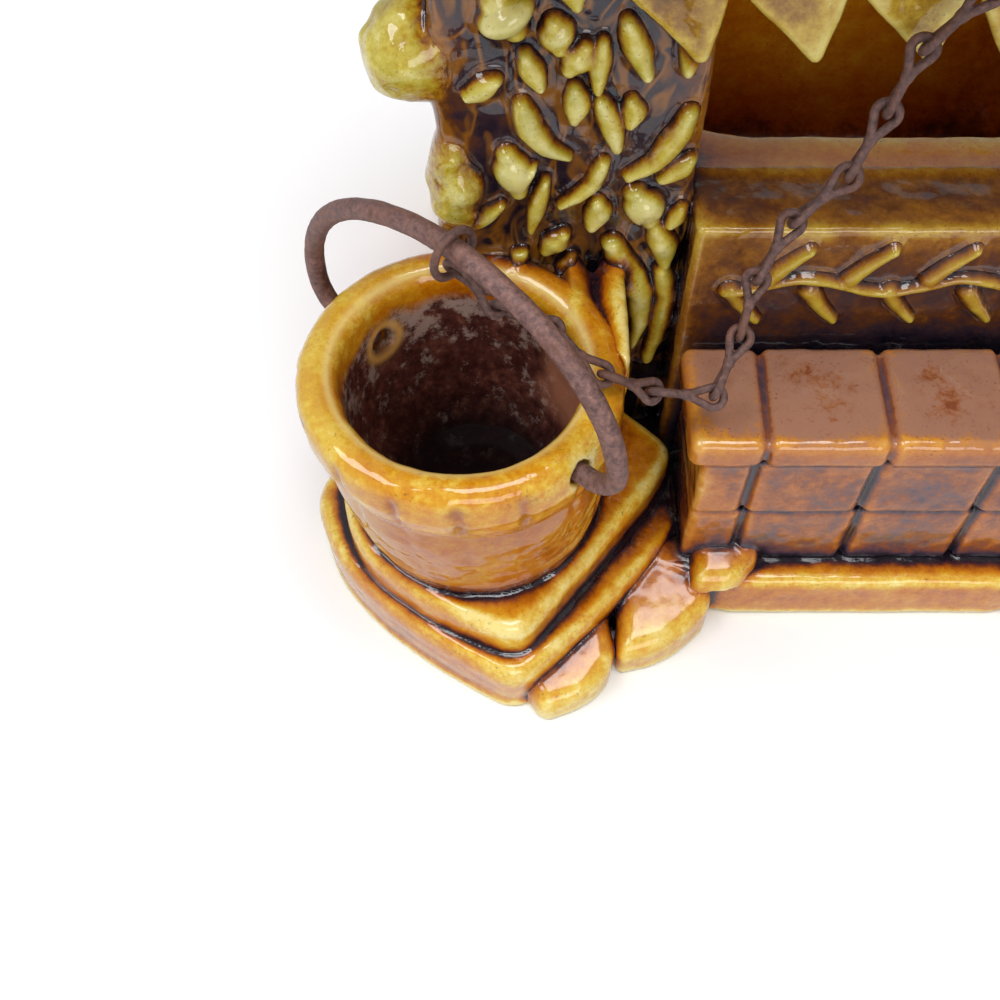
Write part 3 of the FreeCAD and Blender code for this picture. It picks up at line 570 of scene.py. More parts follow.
def slope(g):
    uy, uz = RUN / SLOPE_LENGTH, CLIMB / SLOPE_LENGTH
    y, z = g.y - ROOF_FRONT, g.z - DECK_TOP
    along = y * uy + z * uz
    out = -y * uz + z * uy
    row = SLOPE_LENGTH / SHINGLE_ROWS
    index = np.clip(np.floor(along / row), 0, SHINGLE_ROWS - 1)
    part = along - index * row
    lip = 1.3 * (1 - fade(part, 0, row)) * (index > 0)
    half = SHINGLE_WIDTH / 2
    shift = np.where(index % 2 == 1, half, SHINGLE_WIDTH)
    apart = half - np.abs((g.x + ROOF_HALF - shift) % SHINGLE_WIDTH - half)
    wobble = 0.35 * noise(g, 7.0, 6.0) + 0.15 * noise(g, 2.4, 7.0)
    top = out - lip + groove(apart, 0.62, 0.8) + wobble * 0.5 + 0.25
    slab = smax(top, -out - 5.0, 0.6)
    slab = np.maximum(slab, np.abs(g.x) - ROOF_HALF + 0.3)
    slab = np.maximum(slab, g.y - RIDGE_Y - 0.4)
    return np.maximum(slab, DECK_TOP - 0.4 - g.z)


class Behind:
    """The same grid seen in a mirror across the ridge."""
    def __init__(self, g):
        self.x, self.y, self.z = g.x, 2 * RIDGE_Y - g.y, g.z
        self.axes = [self.x.ravel(), self.y.ravel(), self.z.ravel()]


def back_slope(g):
    return slope(Behind(g))


def gable(side):
    def field(g):
        out = (-(g.y - ROOF_FRONT) * CLIMB + (g.z - DECK_TOP) * RUN) / SLOPE_LENGTH
        back = ((g.y - ROOF_BACK) * CLIMB + (g.z - DECK_TOP) * RUN) / SLOPE_LENGTH
        wall = np.abs(g.x * side - 60.0) - 2.0
        boards = groove((g.y - RIDGE_Y + 4.0) % 8.0 - 4.0, 0.5, 0.5)
        wall = wall + boards * (g.x * side > 60)
        d = np.maximum(np.maximum(out, back) + 1.5, wall)
        return np.maximum(d, DECK_TOP - 0.4 - g.z)
    return field


def ridge_cap(g):
    rho = np.sqrt((g.y - RIDGE_Y) ** 2 + (g.z - (RIDGE_Z - 1.0)) ** 2)
    d = rho - 4.1 + 0.2 * noise(g, 5.0, 8.0)
    d = d + groove((g.x + SHINGLE_WIDTH / 2) % SHINGLE_WIDTH - SHINGLE_WIDTH / 2, 0.7, 0.6) + 0.1
    return rmax(d, np.abs(g.x) - ROOF_HALF + 0.2, 1.2)


def valance(g):
    out = nothing(g)
    for i in range(-3, 4):
        x0, x1 = (i - 0.5) * BOARD_WIDTH + 0.25, (i + 0.5) * BOARD_WIDTH - 0.25
        lean = 0.34 * (x1 - x0) * (-1 if i > 0 else 1 if i < 0 else 0)
        tip = (x0 + x1) / 2 + lean
        outline = [(x0, 81.0), (tip, 73.0), (x1, 81.0), (x1, 99.0), (x0, 99.0)]
        d = convex(g.x, g.z, outline, 1.2)
        down = fade(g.z, DECK_BASE, -20)
        crest = tip * down + (x0 + x1) / 2 * (1 - down)
        ridge = 0.9 * np.clip(1 - np.abs(g.x - crest) / 4.5, 0, 1)
        slab = rmax(d, -16.2 - g.y - ridge, 0.8)
        slab = np.maximum(slab, g.y + 13.6)
        out = np.minimum(out, slab)
    return np.maximum(out + 0.06 * noise(g, 2.2, 9.0), g.z - DECK_BASE - 0.5)


def mirrored(field):
    def flipped(g):
        other = Grid((1 - g.i1[0], g.i0[1], g.i0[2]), (1 - g.i0[0], g.i1[1], g.i1[2]), g.h)
        return np.broadcast_to(field(other), other.shape)[::-1]
    return flipped


upper_lobe = lobe(-60.0, -9.5, 70.5, 6.2, 6.4, 6.6, 12.0)
lower_lobe = lobe(-56.4, -12.2, 54.6, 3.5, 4.4, 7.4, 14.0)
# Distance of each piece and the spacing of its grid
FIELDS = {
    "step_lower": (step_lower, FINE),
    "step_upper": (step_upper, FINE),
    "bucket": (bucket, MIDDLE),
    "bucket_strap": (strap, FINE),
    "plinth": (plinth, COARSE),
    "well_course_lower": (course(PLINTH_TOP, COURSE_SPLIT, 7.0), FINE),
    "well_course_upper": (course(COURSE_SPLIT, COPING_BASE, 6.6), FINE),
    "well_coping": (coping, FINE),
    "front_panel": (front_panel, FINE),
    "panel_sprig": (panel_sprig, FINE),
    "basin": (basin, BASIN_SPACING),
    "left_post": (post, MIDDLE),
    "left_post_leaves": (post_leaves, FINE),
    "right_post": (mirrored(post), COARSE),
    "right_post_leaves": (mirrored(post_leaves), FINE),
    "left_leaf_lobe_upper": (upper_lobe, FINE),
    "left_leaf_lobe_lower": (lower_lobe, FINE),
    "right_leaf_lobe_upper": (mirrored(upper_lobe), COARSE),
    "right_leaf_lobe_lower": (mirrored(lower_lobe), COARSE),
    "roof_deck": (roof_deck, COARSE),
    "roof_front": (slope, COARSE),
    "roof_back": (back_slope, COARSE),
    "gable_left": (gable(-1), COARSE),
    "gable_right": (gable(1), COARSE),
    "ridge_cap": (ridge_cap, COARSE),
    "valance_boards": (valance, FINE),
}
for name in STONES:
    FIELDS[name] = (stone(name), FINE if "left" in name else COARSE)
BOXES = {name: [np.array(corner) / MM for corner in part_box(name)] for name in FIELDS}


def skin(g):
    """Small unevenness of the moulded clay under the glaze, the same for every piece."""
    return 0.09 * noise(g, 3.1, 20.0) + 0.05 * noise(g, 1.4, 21.0)


def blended(g, own=None):
    """Blended outside of all pieces, the distance to one of them and to the nearest of the others."""
    whole, mine, others = nothing(g), nothing(g), nothing(g)
    for name, (field, _) in FIELDS.items():
        part, cut = g.window(*BOXES[name], 3.0)
        if part is None:
            continue
        d = np.broadcast_to(field(part), part.shape).astype(np.float32)
        whole[cut] = smin(whole[cut], d)
        if name == own:
            mine[cut] = np.minimum(mine[cut], d)
        else:
            others[cut] = np.minimum(others[cut], d)
    return whole + skin(g), mine, others


WHOLE = Grid.around(CAD_LO, CAD_HI, 8.0, 1.0)
whole, _, _ = blended(WHOLE)
filled = np.clip(0.5 - whole, 0, 1)
FORM = blur(filled, 2.4)
# Wide blur of the fill: the glaze darkens with it in wide recesses, partly as pooled glaze and partly as
# painted shade where the pieces shadow each other
POOL_AND_SHADE = blur(filled, 6.0)


def put(name, data):
    obj = bpy.data.objects.new(name, data)
    bpy.context.scene.collection.objects.link(obj)
    return obj


def smooth(mesh):
    mesh.polygons.foreach_set("use_smooth", np.ones(len(mesh.polygons), bool))


def set_attribute(mesh, key, values):
    mesh.attributes.new(key, "FLOAT", "POINT").data.foreach_set("value", np.asarray(values, np.float32))


def make_object(name, points, faces, attributes, normals):
    mesh = bpy.data.meshes.new(name)
    mesh.vertices.add(len(points))
    mesh.vertices.foreach_set("co", (points * MM).astype(np.float32).ravel())
    mesh.loops.add(faces.size)
    mesh.loops.foreach_set("vertex_index", faces.astype(np.int32).ravel())
    mesh.polygons.add(len(faces))
    mesh.polygons.foreach_set("loop_start", np.arange(0, faces.size, faces.shape[1], dtype=np.int32))
    mesh.update(calc_edges=True)
    mesh.validate()
    smooth(mesh)
    for key, values in attributes.items():
        set_attribute(mesh, key, values)
    mesh.normals_split_custom_set_from_vertices(normals.astype(np.float32))
    return put(name, mesh)


def inside_out(points, faces):
    a, b, c = points[faces[:, 0]], points[faces[:, 1]], points[faces[:, 2]]
    return np.einsum("ij,ij->i", a, np.cross(b, c)).sum() < 0


def polygonise(values, g):
    grid = openvdb.FloatGrid(background=3 * g.h)
    grid.copyFromArray(np.clip(values, -3 * g.h, 3 * g.h).astype(np.float32))
    points, triangles, quads = grid.convertToPolygons(isovalue=0.0, adaptivity=0.0)
    points = (points + g.i0) * g.h
    faces = quads if len(quads) else np.zeros((0, 4), np.uint32)
    if len(triangles):
        faces = np.concatenate([faces, np.concatenate([triangles, triangles[:, 2:]], 1)])
    return points, faces[:, ::-1] if inside_out(points, faces) else faces


def main_shells(points, faces, least):
    """Drops the loose shells that have fewer faces than the least number."""
    label = np.arange(len(points))
    while True:
        low = label[faces].min(1)
        new = label.copy()
        for k in range(faces.shape[1]):
            np.minimum.at(new, faces[:, k], low)
        new = new[new]
        if (new == label).all():
            break
        label = new
    used, counts = np.unique(label[faces[:, 0]], return_counts=True)
    faces = faces[np.isin(label[faces[:, 0]], used[counts >= least])]
    order = np.unique(faces)
    renumber = np.zeros(len(points), int)
    renumber[order] = np.arange(len(order))
    return points[order], renumber[faces]


def gradient_at(a, g, p):
    step = g.h * 0.9
    n = np.stack([sample(a, g, p + d) - sample(a, g, p - d) for d in np.eye(3) * step], 1)
    return n / np.maximum(np.linalg.norm(n, axis=1, keepdims=True), 1e-6)


def uneven(curve, hollow_share):
    return np.where(curve > 0, curve, curve * hollow_share)


def make_piece(name):
    h = FIELDS[name][1]
    g = Grid.around(*BOXES[name], 2.2, h)
    whole, mine, others = blended(g, name)
    values = whole + np.maximum(mine - others, 0)
    for axis, c in enumerate((g.x, g.y, g.z)):
        first, last = g.axes[axis][[0, -1]]
        for limit in (CAD_LO[axis] - c, c - CAD_HI[axis], first + 1.5 * h - c, c - last + 1.5 * h):
            values = np.maximum(values, limit)
    points, faces = polygonise(values, g)
    points, faces = main_shells(points, faces, 60)
    sharp = blur(np.clip(0.5 - whole / h, 0, 1), 0.75 / h)
    attributes = {
        "crest": uneven(0.5 - sample(sharp, g, points), 1.1),
        "form": uneven(0.5 - sample(FORM, WHOLE, points), 2.0),
        # pooled glaze and painted shade in wide recesses
        "pool_and_shade": sample(POOL_AND_SHADE, WHOLE, points) - 0.5,
        "lift": np.clip(sample(others, g, points) / 1.8, 0, 1.5) ** 1.4,
        "near": np.exp(-np.maximum(sample(others, g, points), 0) / 1.5),
    }
    hidden = np.clip((sample(values, g, points) - sample(whole, g, points)) / 0.05, 0, 1)[:, None]
    outer = gradient_at(whole, g, points)
    inner = gradient_at(values, g, points)
    normals = outer * (1 - hidden) + inner * hidden
    normals /= np.maximum(np.linalg.norm(normals, axis=1, keepdims=True), 1e-6)
    # How far each face turns up; the glaze uses this for a painted sheen on upper faces and painted shade on
    # side faces
    attributes["top"] = np.clip(normals[:, 2], 0, 1) ** 2
    return make_object(name + "_glaze", points, faces, attributes, normals)


pieces = {}
for name in FIELDS:
    pieces[name] = make_piece(name)


# Wire
def swept(path, radius, closed, sides=18, rough=0.045):
    """Points and faces of a wire along a path, pitted a little, with flat ends if it is open."""
    path = np.array(path, float)
    n = len(path)
    if closed:
        tangent = np.roll(path, -1, 0) - np.roll(path, 1, 0)
    else:
        tangent = np.gradient(path, axis=0)
    tangent /= np.linalg.norm(tangent, axis=1, keepdims=True)
    side = np.cross(tangent[0], [0.3, 0.2, 1.0])
    k = np.arange(sides)
    a = (2 * math.pi * k / sides)[:, None]
    rings = []
    for p, t in zip(path, tangent):
        side = side - t * side.dot(t)
        side /= np.linalg.norm(side)
        rings.append(p + radius * (np.cos(a) * side + np.sin(a) * np.cross(t, side)))
    points = np.concatenate(rings)
    bump = rough * (noise_at(points, 0.9, 31.0) + 0.6 * noise_at(points, 2.6, 32.0))
    away = (points - np.repeat(path, sides, 0)) / radius
    points = points + away * np.minimum(bump, rough * 0.8)[:, None]
    ring = np.arange(n if closed else n - 1)[:, None] * sides
    after = (ring + sides) % (n * sides)
    m = (k + 1) % sides
    faces = [np.stack([ring + k, ring + m, after + m, after + k], 2).reshape(-1, 4)]
    if not closed:
        last = (n - 1) * sides
        low, high = np.full(sides, n * sides), np.full(sides, n * sides + 1)
        faces += [np.stack([m, k, low, low], 1), np.stack([last + k, last + m, high, high], 1)]
        points = np.concatenate([points, path[[0, -1]]])
    return points, np.concatenate(faces)


def wire_object(name, points, faces):
    mesh = bpy.data.meshes.new(name)
    clean = [tuple(dict.fromkeys(f)) for f in faces.tolist()]
    mesh.from_pydata((points * MM).tolist(), [], clean)
    mesh.update()
    if inside_out(points, faces):
        mesh.flip_normals()
    smooth(mesh)
    return put(name, mesh)


BAIL_WIRE, HALF_WIDTH, RISE, BEND, INSET = 1.3, 24.9, 23.9, 4.4, 15.4
UP = np.array([0.0, 0.0, 1.0])
BAIL_UP = UP - BAIL_OUT * BAIL_OUT[2]
BAIL_UP /= np.linalg.norm(BAIL_UP)


def bail_path():
    """Places across and above the bail's axis: an end turned in, a bend, the arch, a bend, an end."""
    half = [(r, 0) for r in np.linspace(INSET + 0.1, HALF_WIDTH - BEND, 12)[:-1]]
    for a in np.linspace(-math.pi / 2, 0, 14)[:-1]:
        half.append((HALF_WIDTH - BEND + BEND * math.cos(a), BEND + BEND * math.sin(a)))
    turns = np.linspace(0, math.pi, 120)
    arch = [(HALF_WIDTH * math.cos(a), BEND + (RISE - BEND) * math.sin(a)) for a in turns]
    path = half + arch + [(-r, h) for r, h in reversed(half)]
    return [BAIL_CENTRE + BAIL_OUT * r + BAIL_UP * h for r, h in path]


CHAIN_WIRE, PLAY, LOOP_R, LINK_HALF, RING_R = 1.0, 0.26, 1.2, 4.35, 2.77
EYE_R, EYE_TUBE = 2.6, 0.38
# Azimuth and rise of each link, in degrees, from the ring to the eye
HEADINGS = [
    (-8, -50), (-5, -29), (-30, -29), (9, -36), (-5, -3), (61, 33), (67, 72),
    (39, 60), (12, 48), (32, 67), (10, 78), (15, 48), (-11, 46),
]


def ring_centre():
    rise = RISE
    for _ in range(20):
        share = rise * math.tan(BAIL_TILT) / HALF_WIDTH
        rise = BEND + (RISE - BEND) * math.sqrt(1 - share * share)
    above = rise / math.cos(BAIL_TILT) + BAIL_WIRE + CHAIN_WIRE / 2 + PLAY
    return BAIL_CENTRE + UP * (above - RING_R)


def link_frames():
    side = np.array([math.cos(BAIL_AZIMUTH), math.sin(BAIL_AZIMUTH), 0.0])
    along, far = -UP, ring_centre() - UP * RING_R
    frames = []
    for azimuth, rise in HEADINGS:
        ahead = heading(math.radians(azimuth), math.radians(rise))
        bend = math.atan2(ahead.dot(side), ahead.dot(along))
        pull = along * math.cos(bend) + side * math.sin(bend)
        side = side * math.cos(bend) - along * math.sin(bend)
        near = far - pull * (CHAIN_WIRE + PLAY)
        middle = near + ahead * LINK_HALF
        along, far = ahead, middle + ahead * LINK_HALF
        frames.append((along, side, np.cross(along, side), middle, far))
    return frames


def tube_field(g, path, r):
    best = None
    for a, b in zip(path, path[1:]):
        e = b - a
        px, py, pz = g.x - a[0], g.y - a[1], g.z - a[2]
        t = np.clip((px * e[0] + py * e[1] + pz * e[2]) / e.dot(e), 0, 1)
        d = (px - e[0] * t) ** 2 + (py - e[1] * t) ** 2 + (pz - e[2] * t) ** 2
        best = d if best is None else np.minimum(best, d)
    return np.sqrt(best) - r


def loop_path(sign, plane):
    centre = LINK_HALF - LOOP_R
    half = math.asin(LOOP_R / centre)
    path = [np.zeros(3)]
    for a in np.linspace(math.pi / 2 + half, -math.pi / 2 - half, 17):
        p = np.zeros(3)
        p[0] = sign * (centre + LOOP_R * math.cos(a))
        p[plane] = LOOP_R * math.sin(a)
        path.append(p)
    return path + [np.zeros(3)]


def link_mesh():
    h = 0.13
    g = Grid.around(np.array([-4.9, -1.8, -1.8]), np.array([4.9, 1.8, 1.8]), 0.3, h)
    d = smin(tube_field(g, loop_path(1, 2), 0.49), tube_field(g, loop_path(-1, 1), 0.49), 0.3)
    d = smin(d, np.sqrt(g.x ** 2 + g.y ** 2 + g.z ** 2) - 0.66, 0.3)
    return polygonise(d, g)


pieces["bail"] = wire_object("bail_rusty", *swept(bail_path(), 1.23, False, 22))
ring_points = []
ring_side = np.array([-math.sin(BAIL_AZIMUTH), math.cos(BAIL_AZIMUTH), 0.0])
for a in np.linspace(0, 2 * math.pi, 61)[:-1]:
    ring_points.append(ring_centre() + RING_R * (ring_side * math.cos(a) + UP * math.sin(a)))
pieces["chain_ring"] = wire_object("chain_ring_rusty", *swept(ring_points, 0.47, True, 14, 0.03))

frames = link_frames()
base_points, base_faces = link_mesh()
for i, (along, side, normal, middle, _) in enumerate(frames):
    turned = base_points[:, :1] * along + base_points[:, 1:2] * side + base_points[:, 2:] * normal + middle
    centre = np.stack([noise_at(turned, 0.8, s + i) for s in (70.0, 80.0, 90.0)], 1)
    name = "chain_link_%02d" % (i + 1)
    pieces[name] = wire_object(name + "_rusty", turned + centre * 0.018, base_faces)


def eye_mesh():
    along, side, _, _, far = frames[-1]
    foot = far - along * (CHAIN_WIRE / 2 + 0.4 + 0.36)
    centre = foot + UP * EYE_R
    across = np.array([side[0], side[1], 0.0])
    across /= np.linalg.norm(across)
    turns = np.linspace(0, 2 * math.pi, 37)
    path = [centre + EYE_R * (across * math.cos(a) + UP * math.sin(a)) for a in turns]
    lo, hi = np.min(path, 0) - 0.5, np.max(path, 0) + 0.5
    hi[2] = DECK_BASE + 0.2
    g = Grid.around(lo, hi, 0.4, 0.15)
    shank = [centre + UP * EYE_R, np.array([centre[0], centre[1], DECK_BASE])]
    return polygonise(smin(tube_field(g, path, EYE_TUBE), tube_field(g, shank, EYE_TUBE), 0.3), g)


pieces["anchor_eye"] = wire_object("anchor_eye_rusty", *eye_mesh())


# Materials
def linear(rgb):
    return tuple(((c / 255 + 0.055) / 1.055) ** 2.4 if c > 10 else c / 255 / 12.92 for c in rgb) + (1.0,)


class Nodes:
    def __init__(self, name):
        self.material = bpy.data.materials.new(name)
        self.material.use_nodes = True
        self.tree = self.material.node_tree
        self.tree.nodes.clear()
        out = self.add("ShaderNodeOutputMaterial")
        self.shader = self.add("ShaderNodeBsdfPrincipled")
        self.link(self.shader.outputs[0], out.inputs[0])
        self.place = self.add("ShaderNodeTexCoord").outputs["Object"]

    def add(self, kind, **settings):
        node = self.tree.nodes.new(kind)
        for key, value in settings.items():
            setattr(node, key, value)
        return node

    def link(self, a, b):
        self.tree.links.new(a, b)

    def value(self, socket, v):
        """Links an output, or sets a number or a colour. Three numbers are a colour as seen, 0 to 255."""
        if isinstance(v, (int, float, tuple)):
            socket.default_value = linear(v) if isinstance(v, tuple) and len(v) == 3 else v
        else:
            self.link(v, socket)

    def fill(self, node, **values):
        """Sets inputs of a node, named with _ for a space."""
        for key, v in values.items():
            self.value(node.inputs[key.replace("_", " ")], v)

    def math(self, operation, a, b=0.0, clamp=False):
        node = self.add("ShaderNodeMath", operation=operation, use_clamp=clamp)
        self.value(node.inputs[0], a)
        self.value(node.inputs[1], b)
        return node.outputs[0]

    def times(self, a, b):
        return self.math("MULTIPLY", a, b)

    def plus(self, a, b, share):
        return self.math("ADD", a, self.times(b, share))

    def attribute(self, name):
        return self.add("ShaderNodeAttribute", attribute_name=name).outputs["Fac"]

    def noise(self, scale, detail=3.0, rough=0.55, distortion=0.0, stretch=None):
        node = self.add("ShaderNodeTexNoise")
        self.fill(node, Scale=scale, Detail=detail, Roughness=rough, Distortion=distortion)
        source = self.place
        if stretch:
            mapping = self.add("ShaderNodeMapping")
            mapping.inputs["Scale"].default_value = stretch
            self.link(source, mapping.inputs[0])
            source = mapping.outputs[0]
        self.link(source, node.inputs["Vector"])
        return node.outputs["Fac"]

    def ramp(self, source, stops):
        node = self.add("ShaderNodeValToRGB")
        elements = node.color_ramp.elements
        stops = [(position, linear(rgb)) for position, rgb in stops]
        elements[0].position, elements[0].color = stops[0]
        elements[1].position, elements[1].color = stops[-1]
        for position, colour in stops[1:-1]:
            elements.new(position).color = colour
        self.link(source, node.inputs[0])
        return node.outputs[0]

    def range(self, source, a, b, c=0.0, d=1.0):
        node = self.add("ShaderNodeMapRange")
        node.inputs[1].default_value, node.inputs[2].default_value = a, b
        node.inputs[3].default_value, node.inputs[4].default_value = c, d
        self.link(source, node.inputs[0])
        return node.outputs[0]

    def mix(self, factor, a, b):
        node = self.add("ShaderNodeMix", data_type="RGBA")
        self.value(node.inputs[0], factor)
        self.value(node.inputs[6], a)
        self.value(node.inputs[7], b)
        return node.outputs[2]

    def bump(self, height, strength, distance):
        node = self.add("ShaderNodeBump")
        self.fill(node, Strength=strength, Distance=distance, Height=height)
        return node.outputs[0]


# Colours of a glaze from its pooled to its thinnest part
WARM = [
    (0.0, (22, 12, 22)), (0.12, (50, 22, 34)), (0.22, (84, 34, 22)), (0.34, (132, 62, 8)),
    (0.46, (176, 94, 4)), (0.6, (198, 120, 10)), (0.74, (212, 150, 28)), (0.87, (226, 188, 70)),
    (1.0, (238, 216, 132)),
]
SLATE = [
    (0.0, (12, 8, 14)), (0.2, (30, 24, 38)), (0.34, (58, 40, 46)), (0.48, (96, 54, 26)),
    (0.64, (150, 96, 26)), (0.86, (196, 160, 56)), (1.0, (214, 198, 106)),
]
LEAFY = [
    (0.0, (30, 16, 20)), (0.14, (84, 42, 18)), (0.28, (142, 84, 14)), (0.42, (172, 126, 22)),
    (0.6, (192, 166, 48)), (0.8, (208, 192, 84)), (1.0, (224, 214, 136)),
]
BRICK = [
    (0.0, (20, 15, 24)), (0.16, (50, 40, 56)), (0.3, (92, 66, 74)), (0.42, (136, 74, 40)),
    (0.54, (174, 98, 32)), (0.72, (200, 130, 40)), (0.86, (216, 162, 74)), (1.0, (232, 204, 140)),
]
BOARD = [
    (0.0, (16, 10, 14)), (0.25, (56, 32, 18)), (0.42, (104, 68, 20)), (0.6, (152, 108, 30)),
    (0.8, (196, 162, 56)), (1.0, (216, 198, 104)),
]
# Pink tint laid on faces turned up: a painted sheen of the light mirrored on them
PINK_SHEEN = (158, 118, 100)
OLIVE = (140, 142, 34)


def glaze(name, stops, base, crest, form, pool_and_shade, lift=0.0, mottle=0.2, green=0.0, near=0.0, top=0.0,
          front=0.0, extra=None, soft=0.05):
    """Glaze whose colour follows how thick it lies: thin on crests, pooled in hollows. The wide-recess term
    also paints shade into recesses, and where asked, faces turned up get a painted pink sheen while the other
    faces get painted shade.
    """
    n = Nodes(name)
    big = n.range(n.noise(110.0, 2.0, 0.5), 0.3, 0.7, -1.0, 1.0)
    medium = n.range(n.noise(560.0, 4.0, 0.6, 0.2), 0.3, 0.7, -1.0, 1.0)
    fine = n.range(n.noise(1500.0, 4.0, 0.7), 0.3, 0.7, -1.0, 1.0)
    t = n.math("ADD", n.times(n.attribute("crest"), crest), base)
    # the wide-recess term subtracted here darkens as pooled glaze and as painted shade
    for key, share in (("form", form), ("pool_and_shade", -pool_and_shade), ("lift", lift), ("near", near)):
        if share:
            t = n.plus(t, n.attribute(key), share)
    # Painted shade: faces that do not turn up are darkened
    if front:
        t = n.plus(t, n.math("SUBTRACT", 1.0, n.attribute("top")), -front)
    t = n.plus(t, big, mottle * 0.4)
    t = n.plus(t, medium, mottle * 0.35)
    t = n.math("ADD", t, n.times(fine, mottle * 0.25), True)
    colour = n.ramp(t, stops)
    if green:
        mask = n.range(n.noise(190.0, 2.0, 0.5), 0.5, 0.66, 0.0, green)
        colour = n.mix(n.times(mask, n.range(t, 0.3, 0.5)), colour, OLIVE)
    # Painted sheen: faces turned up take the pink tint in the middle tones
    if top:
        flat = n.times(n.attribute("top"), n.range(t, 0.42, 0.5))
        flat = n.times(flat, n.range(t, 0.62, 0.74, top, 0.0))
        colour = n.mix(flat, colour, PINK_SHEEN)
    specks = n.range(n.noise(2600.0, 2.0, 0.5), 0.60, 0.72, 0.0, 0.6)
    patches = n.range(n.noise(300.0, 2.0, 0.5), 0.4, 0.62, 0.15, 1.0)
    colour = n.mix(n.times(specks, patches), colour, (104, 46, 14))
    if extra:
        colour = extra(n, colour)
    partly_matt = extra is bucket_inside
    if not partly_matt:
        n.fill(n.shader, Coat_Weight=1.0)
    normal = n.bump(n.noise(520.0, 3.0, 0.5), 0.12, 0.0004)
    n.fill(n.shader, Base_Color=colour, Roughness=0.35, Specular_IOR_Level=0.02 if partly_matt else 0.1,
           Coat_Roughness=soft, Coat_IOR=1.6, Normal=normal, Coat_Normal=normal)
    return n.material


def bucket_inside(n, colour):
    """Lemon lip line and darker joints outside; matt clay, dirt and pale crust below the glazed lip inside,
    darkened to near black towards its floor as painted shade.
    """
    colour = n.mix(n.attribute("body"), colour, (146, 70, 10))
    colour = n.mix(n.attribute("west"), colour, (204, 172, 66))
    worn = n.range(n.noise(420.0, 4.0, 0.65), 0.36, 0.6, 0.1, 1.0)
    colour = n.mix(n.times(n.attribute("joint"), worn), colour, (138, 66, 12))
    colour = n.mix(n.attribute("lip"), colour, (242, 216, 134))
    mask = n.attribute("hollow")
    grain = n.noise(700.0, 5.0, 0.7)
    tones = [(0.3, (46, 24, 22)), (0.5, (92, 50, 42)), (0.62, (116, 70, 56)), (0.75, (146, 104, 86))]
    dirt = n.ramp(grain, tones)
    streak = n.range(n.noise(260.0, 3.0, 0.6, 0.0, (1.0, 1.0, 0.25)), 0.45, 0.65, 0.0, 0.7)
    dirt = n.mix(streak, dirt, (62, 28, 26))
    high = n.range(n.attribute("height"), 29.0, 40.0, 0.0, 1.0)
    crust = n.range(n.plus(n.noise(300.0, 6.0, 0.75), high, 0.14), 0.56, 0.66, 0.0, 0.8)
    inner = n.mix(crust, dirt, (170, 146, 134))
    # Painted shade: the inside darkens to near black towards its floor
    black = n.range(n.attribute("height"), 19.2, 25.0, 0.94, 0.0)
    inner = n.mix(black, inner, (13, 9, 11))
    inner = n.mix(n.attribute("lit"), inner, (186, 122, 92))
    inner = n.mix(n.attribute("ring"), inner, (212, 160, 84))
    n.fill(n.shader, Coat_Weight=n.range(mask, 0.0, 1.0, 1.0, 0.0))
    return n.mix(mask, colour, inner)


def strands(n, colour):
    """Amber runs of glaze that wind over the dark ground between the leaves."""
    wave = n.math("ABSOLUTE", n.math("SUBTRACT", n.noise(150.0, 2.0, 0.5, 1.2, (1.5, 1.0, 0.75)), 0.5))
    line = n.range(wave, 0.01, 0.075, 0.7, 0.0)
    part = n.range(n.noise(95.0, 2.0, 0.5), 0.4, 0.55, 0.25, 1.0)
    part = n.times(part, n.range(n.attribute("near"), 0.02, 0.2))
    return n.mix(n.times(line, part), colour, (158, 100, 24))


def strap_spot(n, colour):
    """Brown ledge behind the rim, with one black crusty spot."""
    colour = n.mix(n.attribute("ledge"), colour, (132, 78, 26))
    grain = n.range(n.noise(900.0, 4.0, 0.7), 0.35, 0.6, 0.0, 1.0)
    return n.mix(n.math("MULTIPLY", n.attribute("spot"), grain, True), colour, (16, 9, 9))


def rust(name, lighter, bump):
    n = Nodes(name)
    grain = n.noise(1400.0, 6.0, 0.7, 0.3)
    patches = n.noise(260.0, 3.0, 0.6)
    tones = [(0.28, (58, 42, 42)), (0.45, (96, 70, 66)), (0.58, (120, 88, 80)), (0.72, (146, 112, 100))]
    colour = n.ramp(grain, [(p, tuple(c * lighter for c in rgb)) for p, rgb in tones])
    warm = n.range(patches, 0.5, 0.68, 0.0, 0.45)
    colour = n.mix(warm, colour, (128, 82, 60))
    dark = n.range(n.noise(520.0, 4.0, 0.6), 0.56, 0.7, 0.0, 0.5)
    colour = n.mix(dark, colour, (54, 38, 38))
    n.fill(n.shader, Base_Color=colour, Metallic=0.2, Roughness=n.range(grain, 0.3, 0.7, 0.42, 0.72),
           Normal=n.bump(grain, bump, 0.00025))
    return n.material


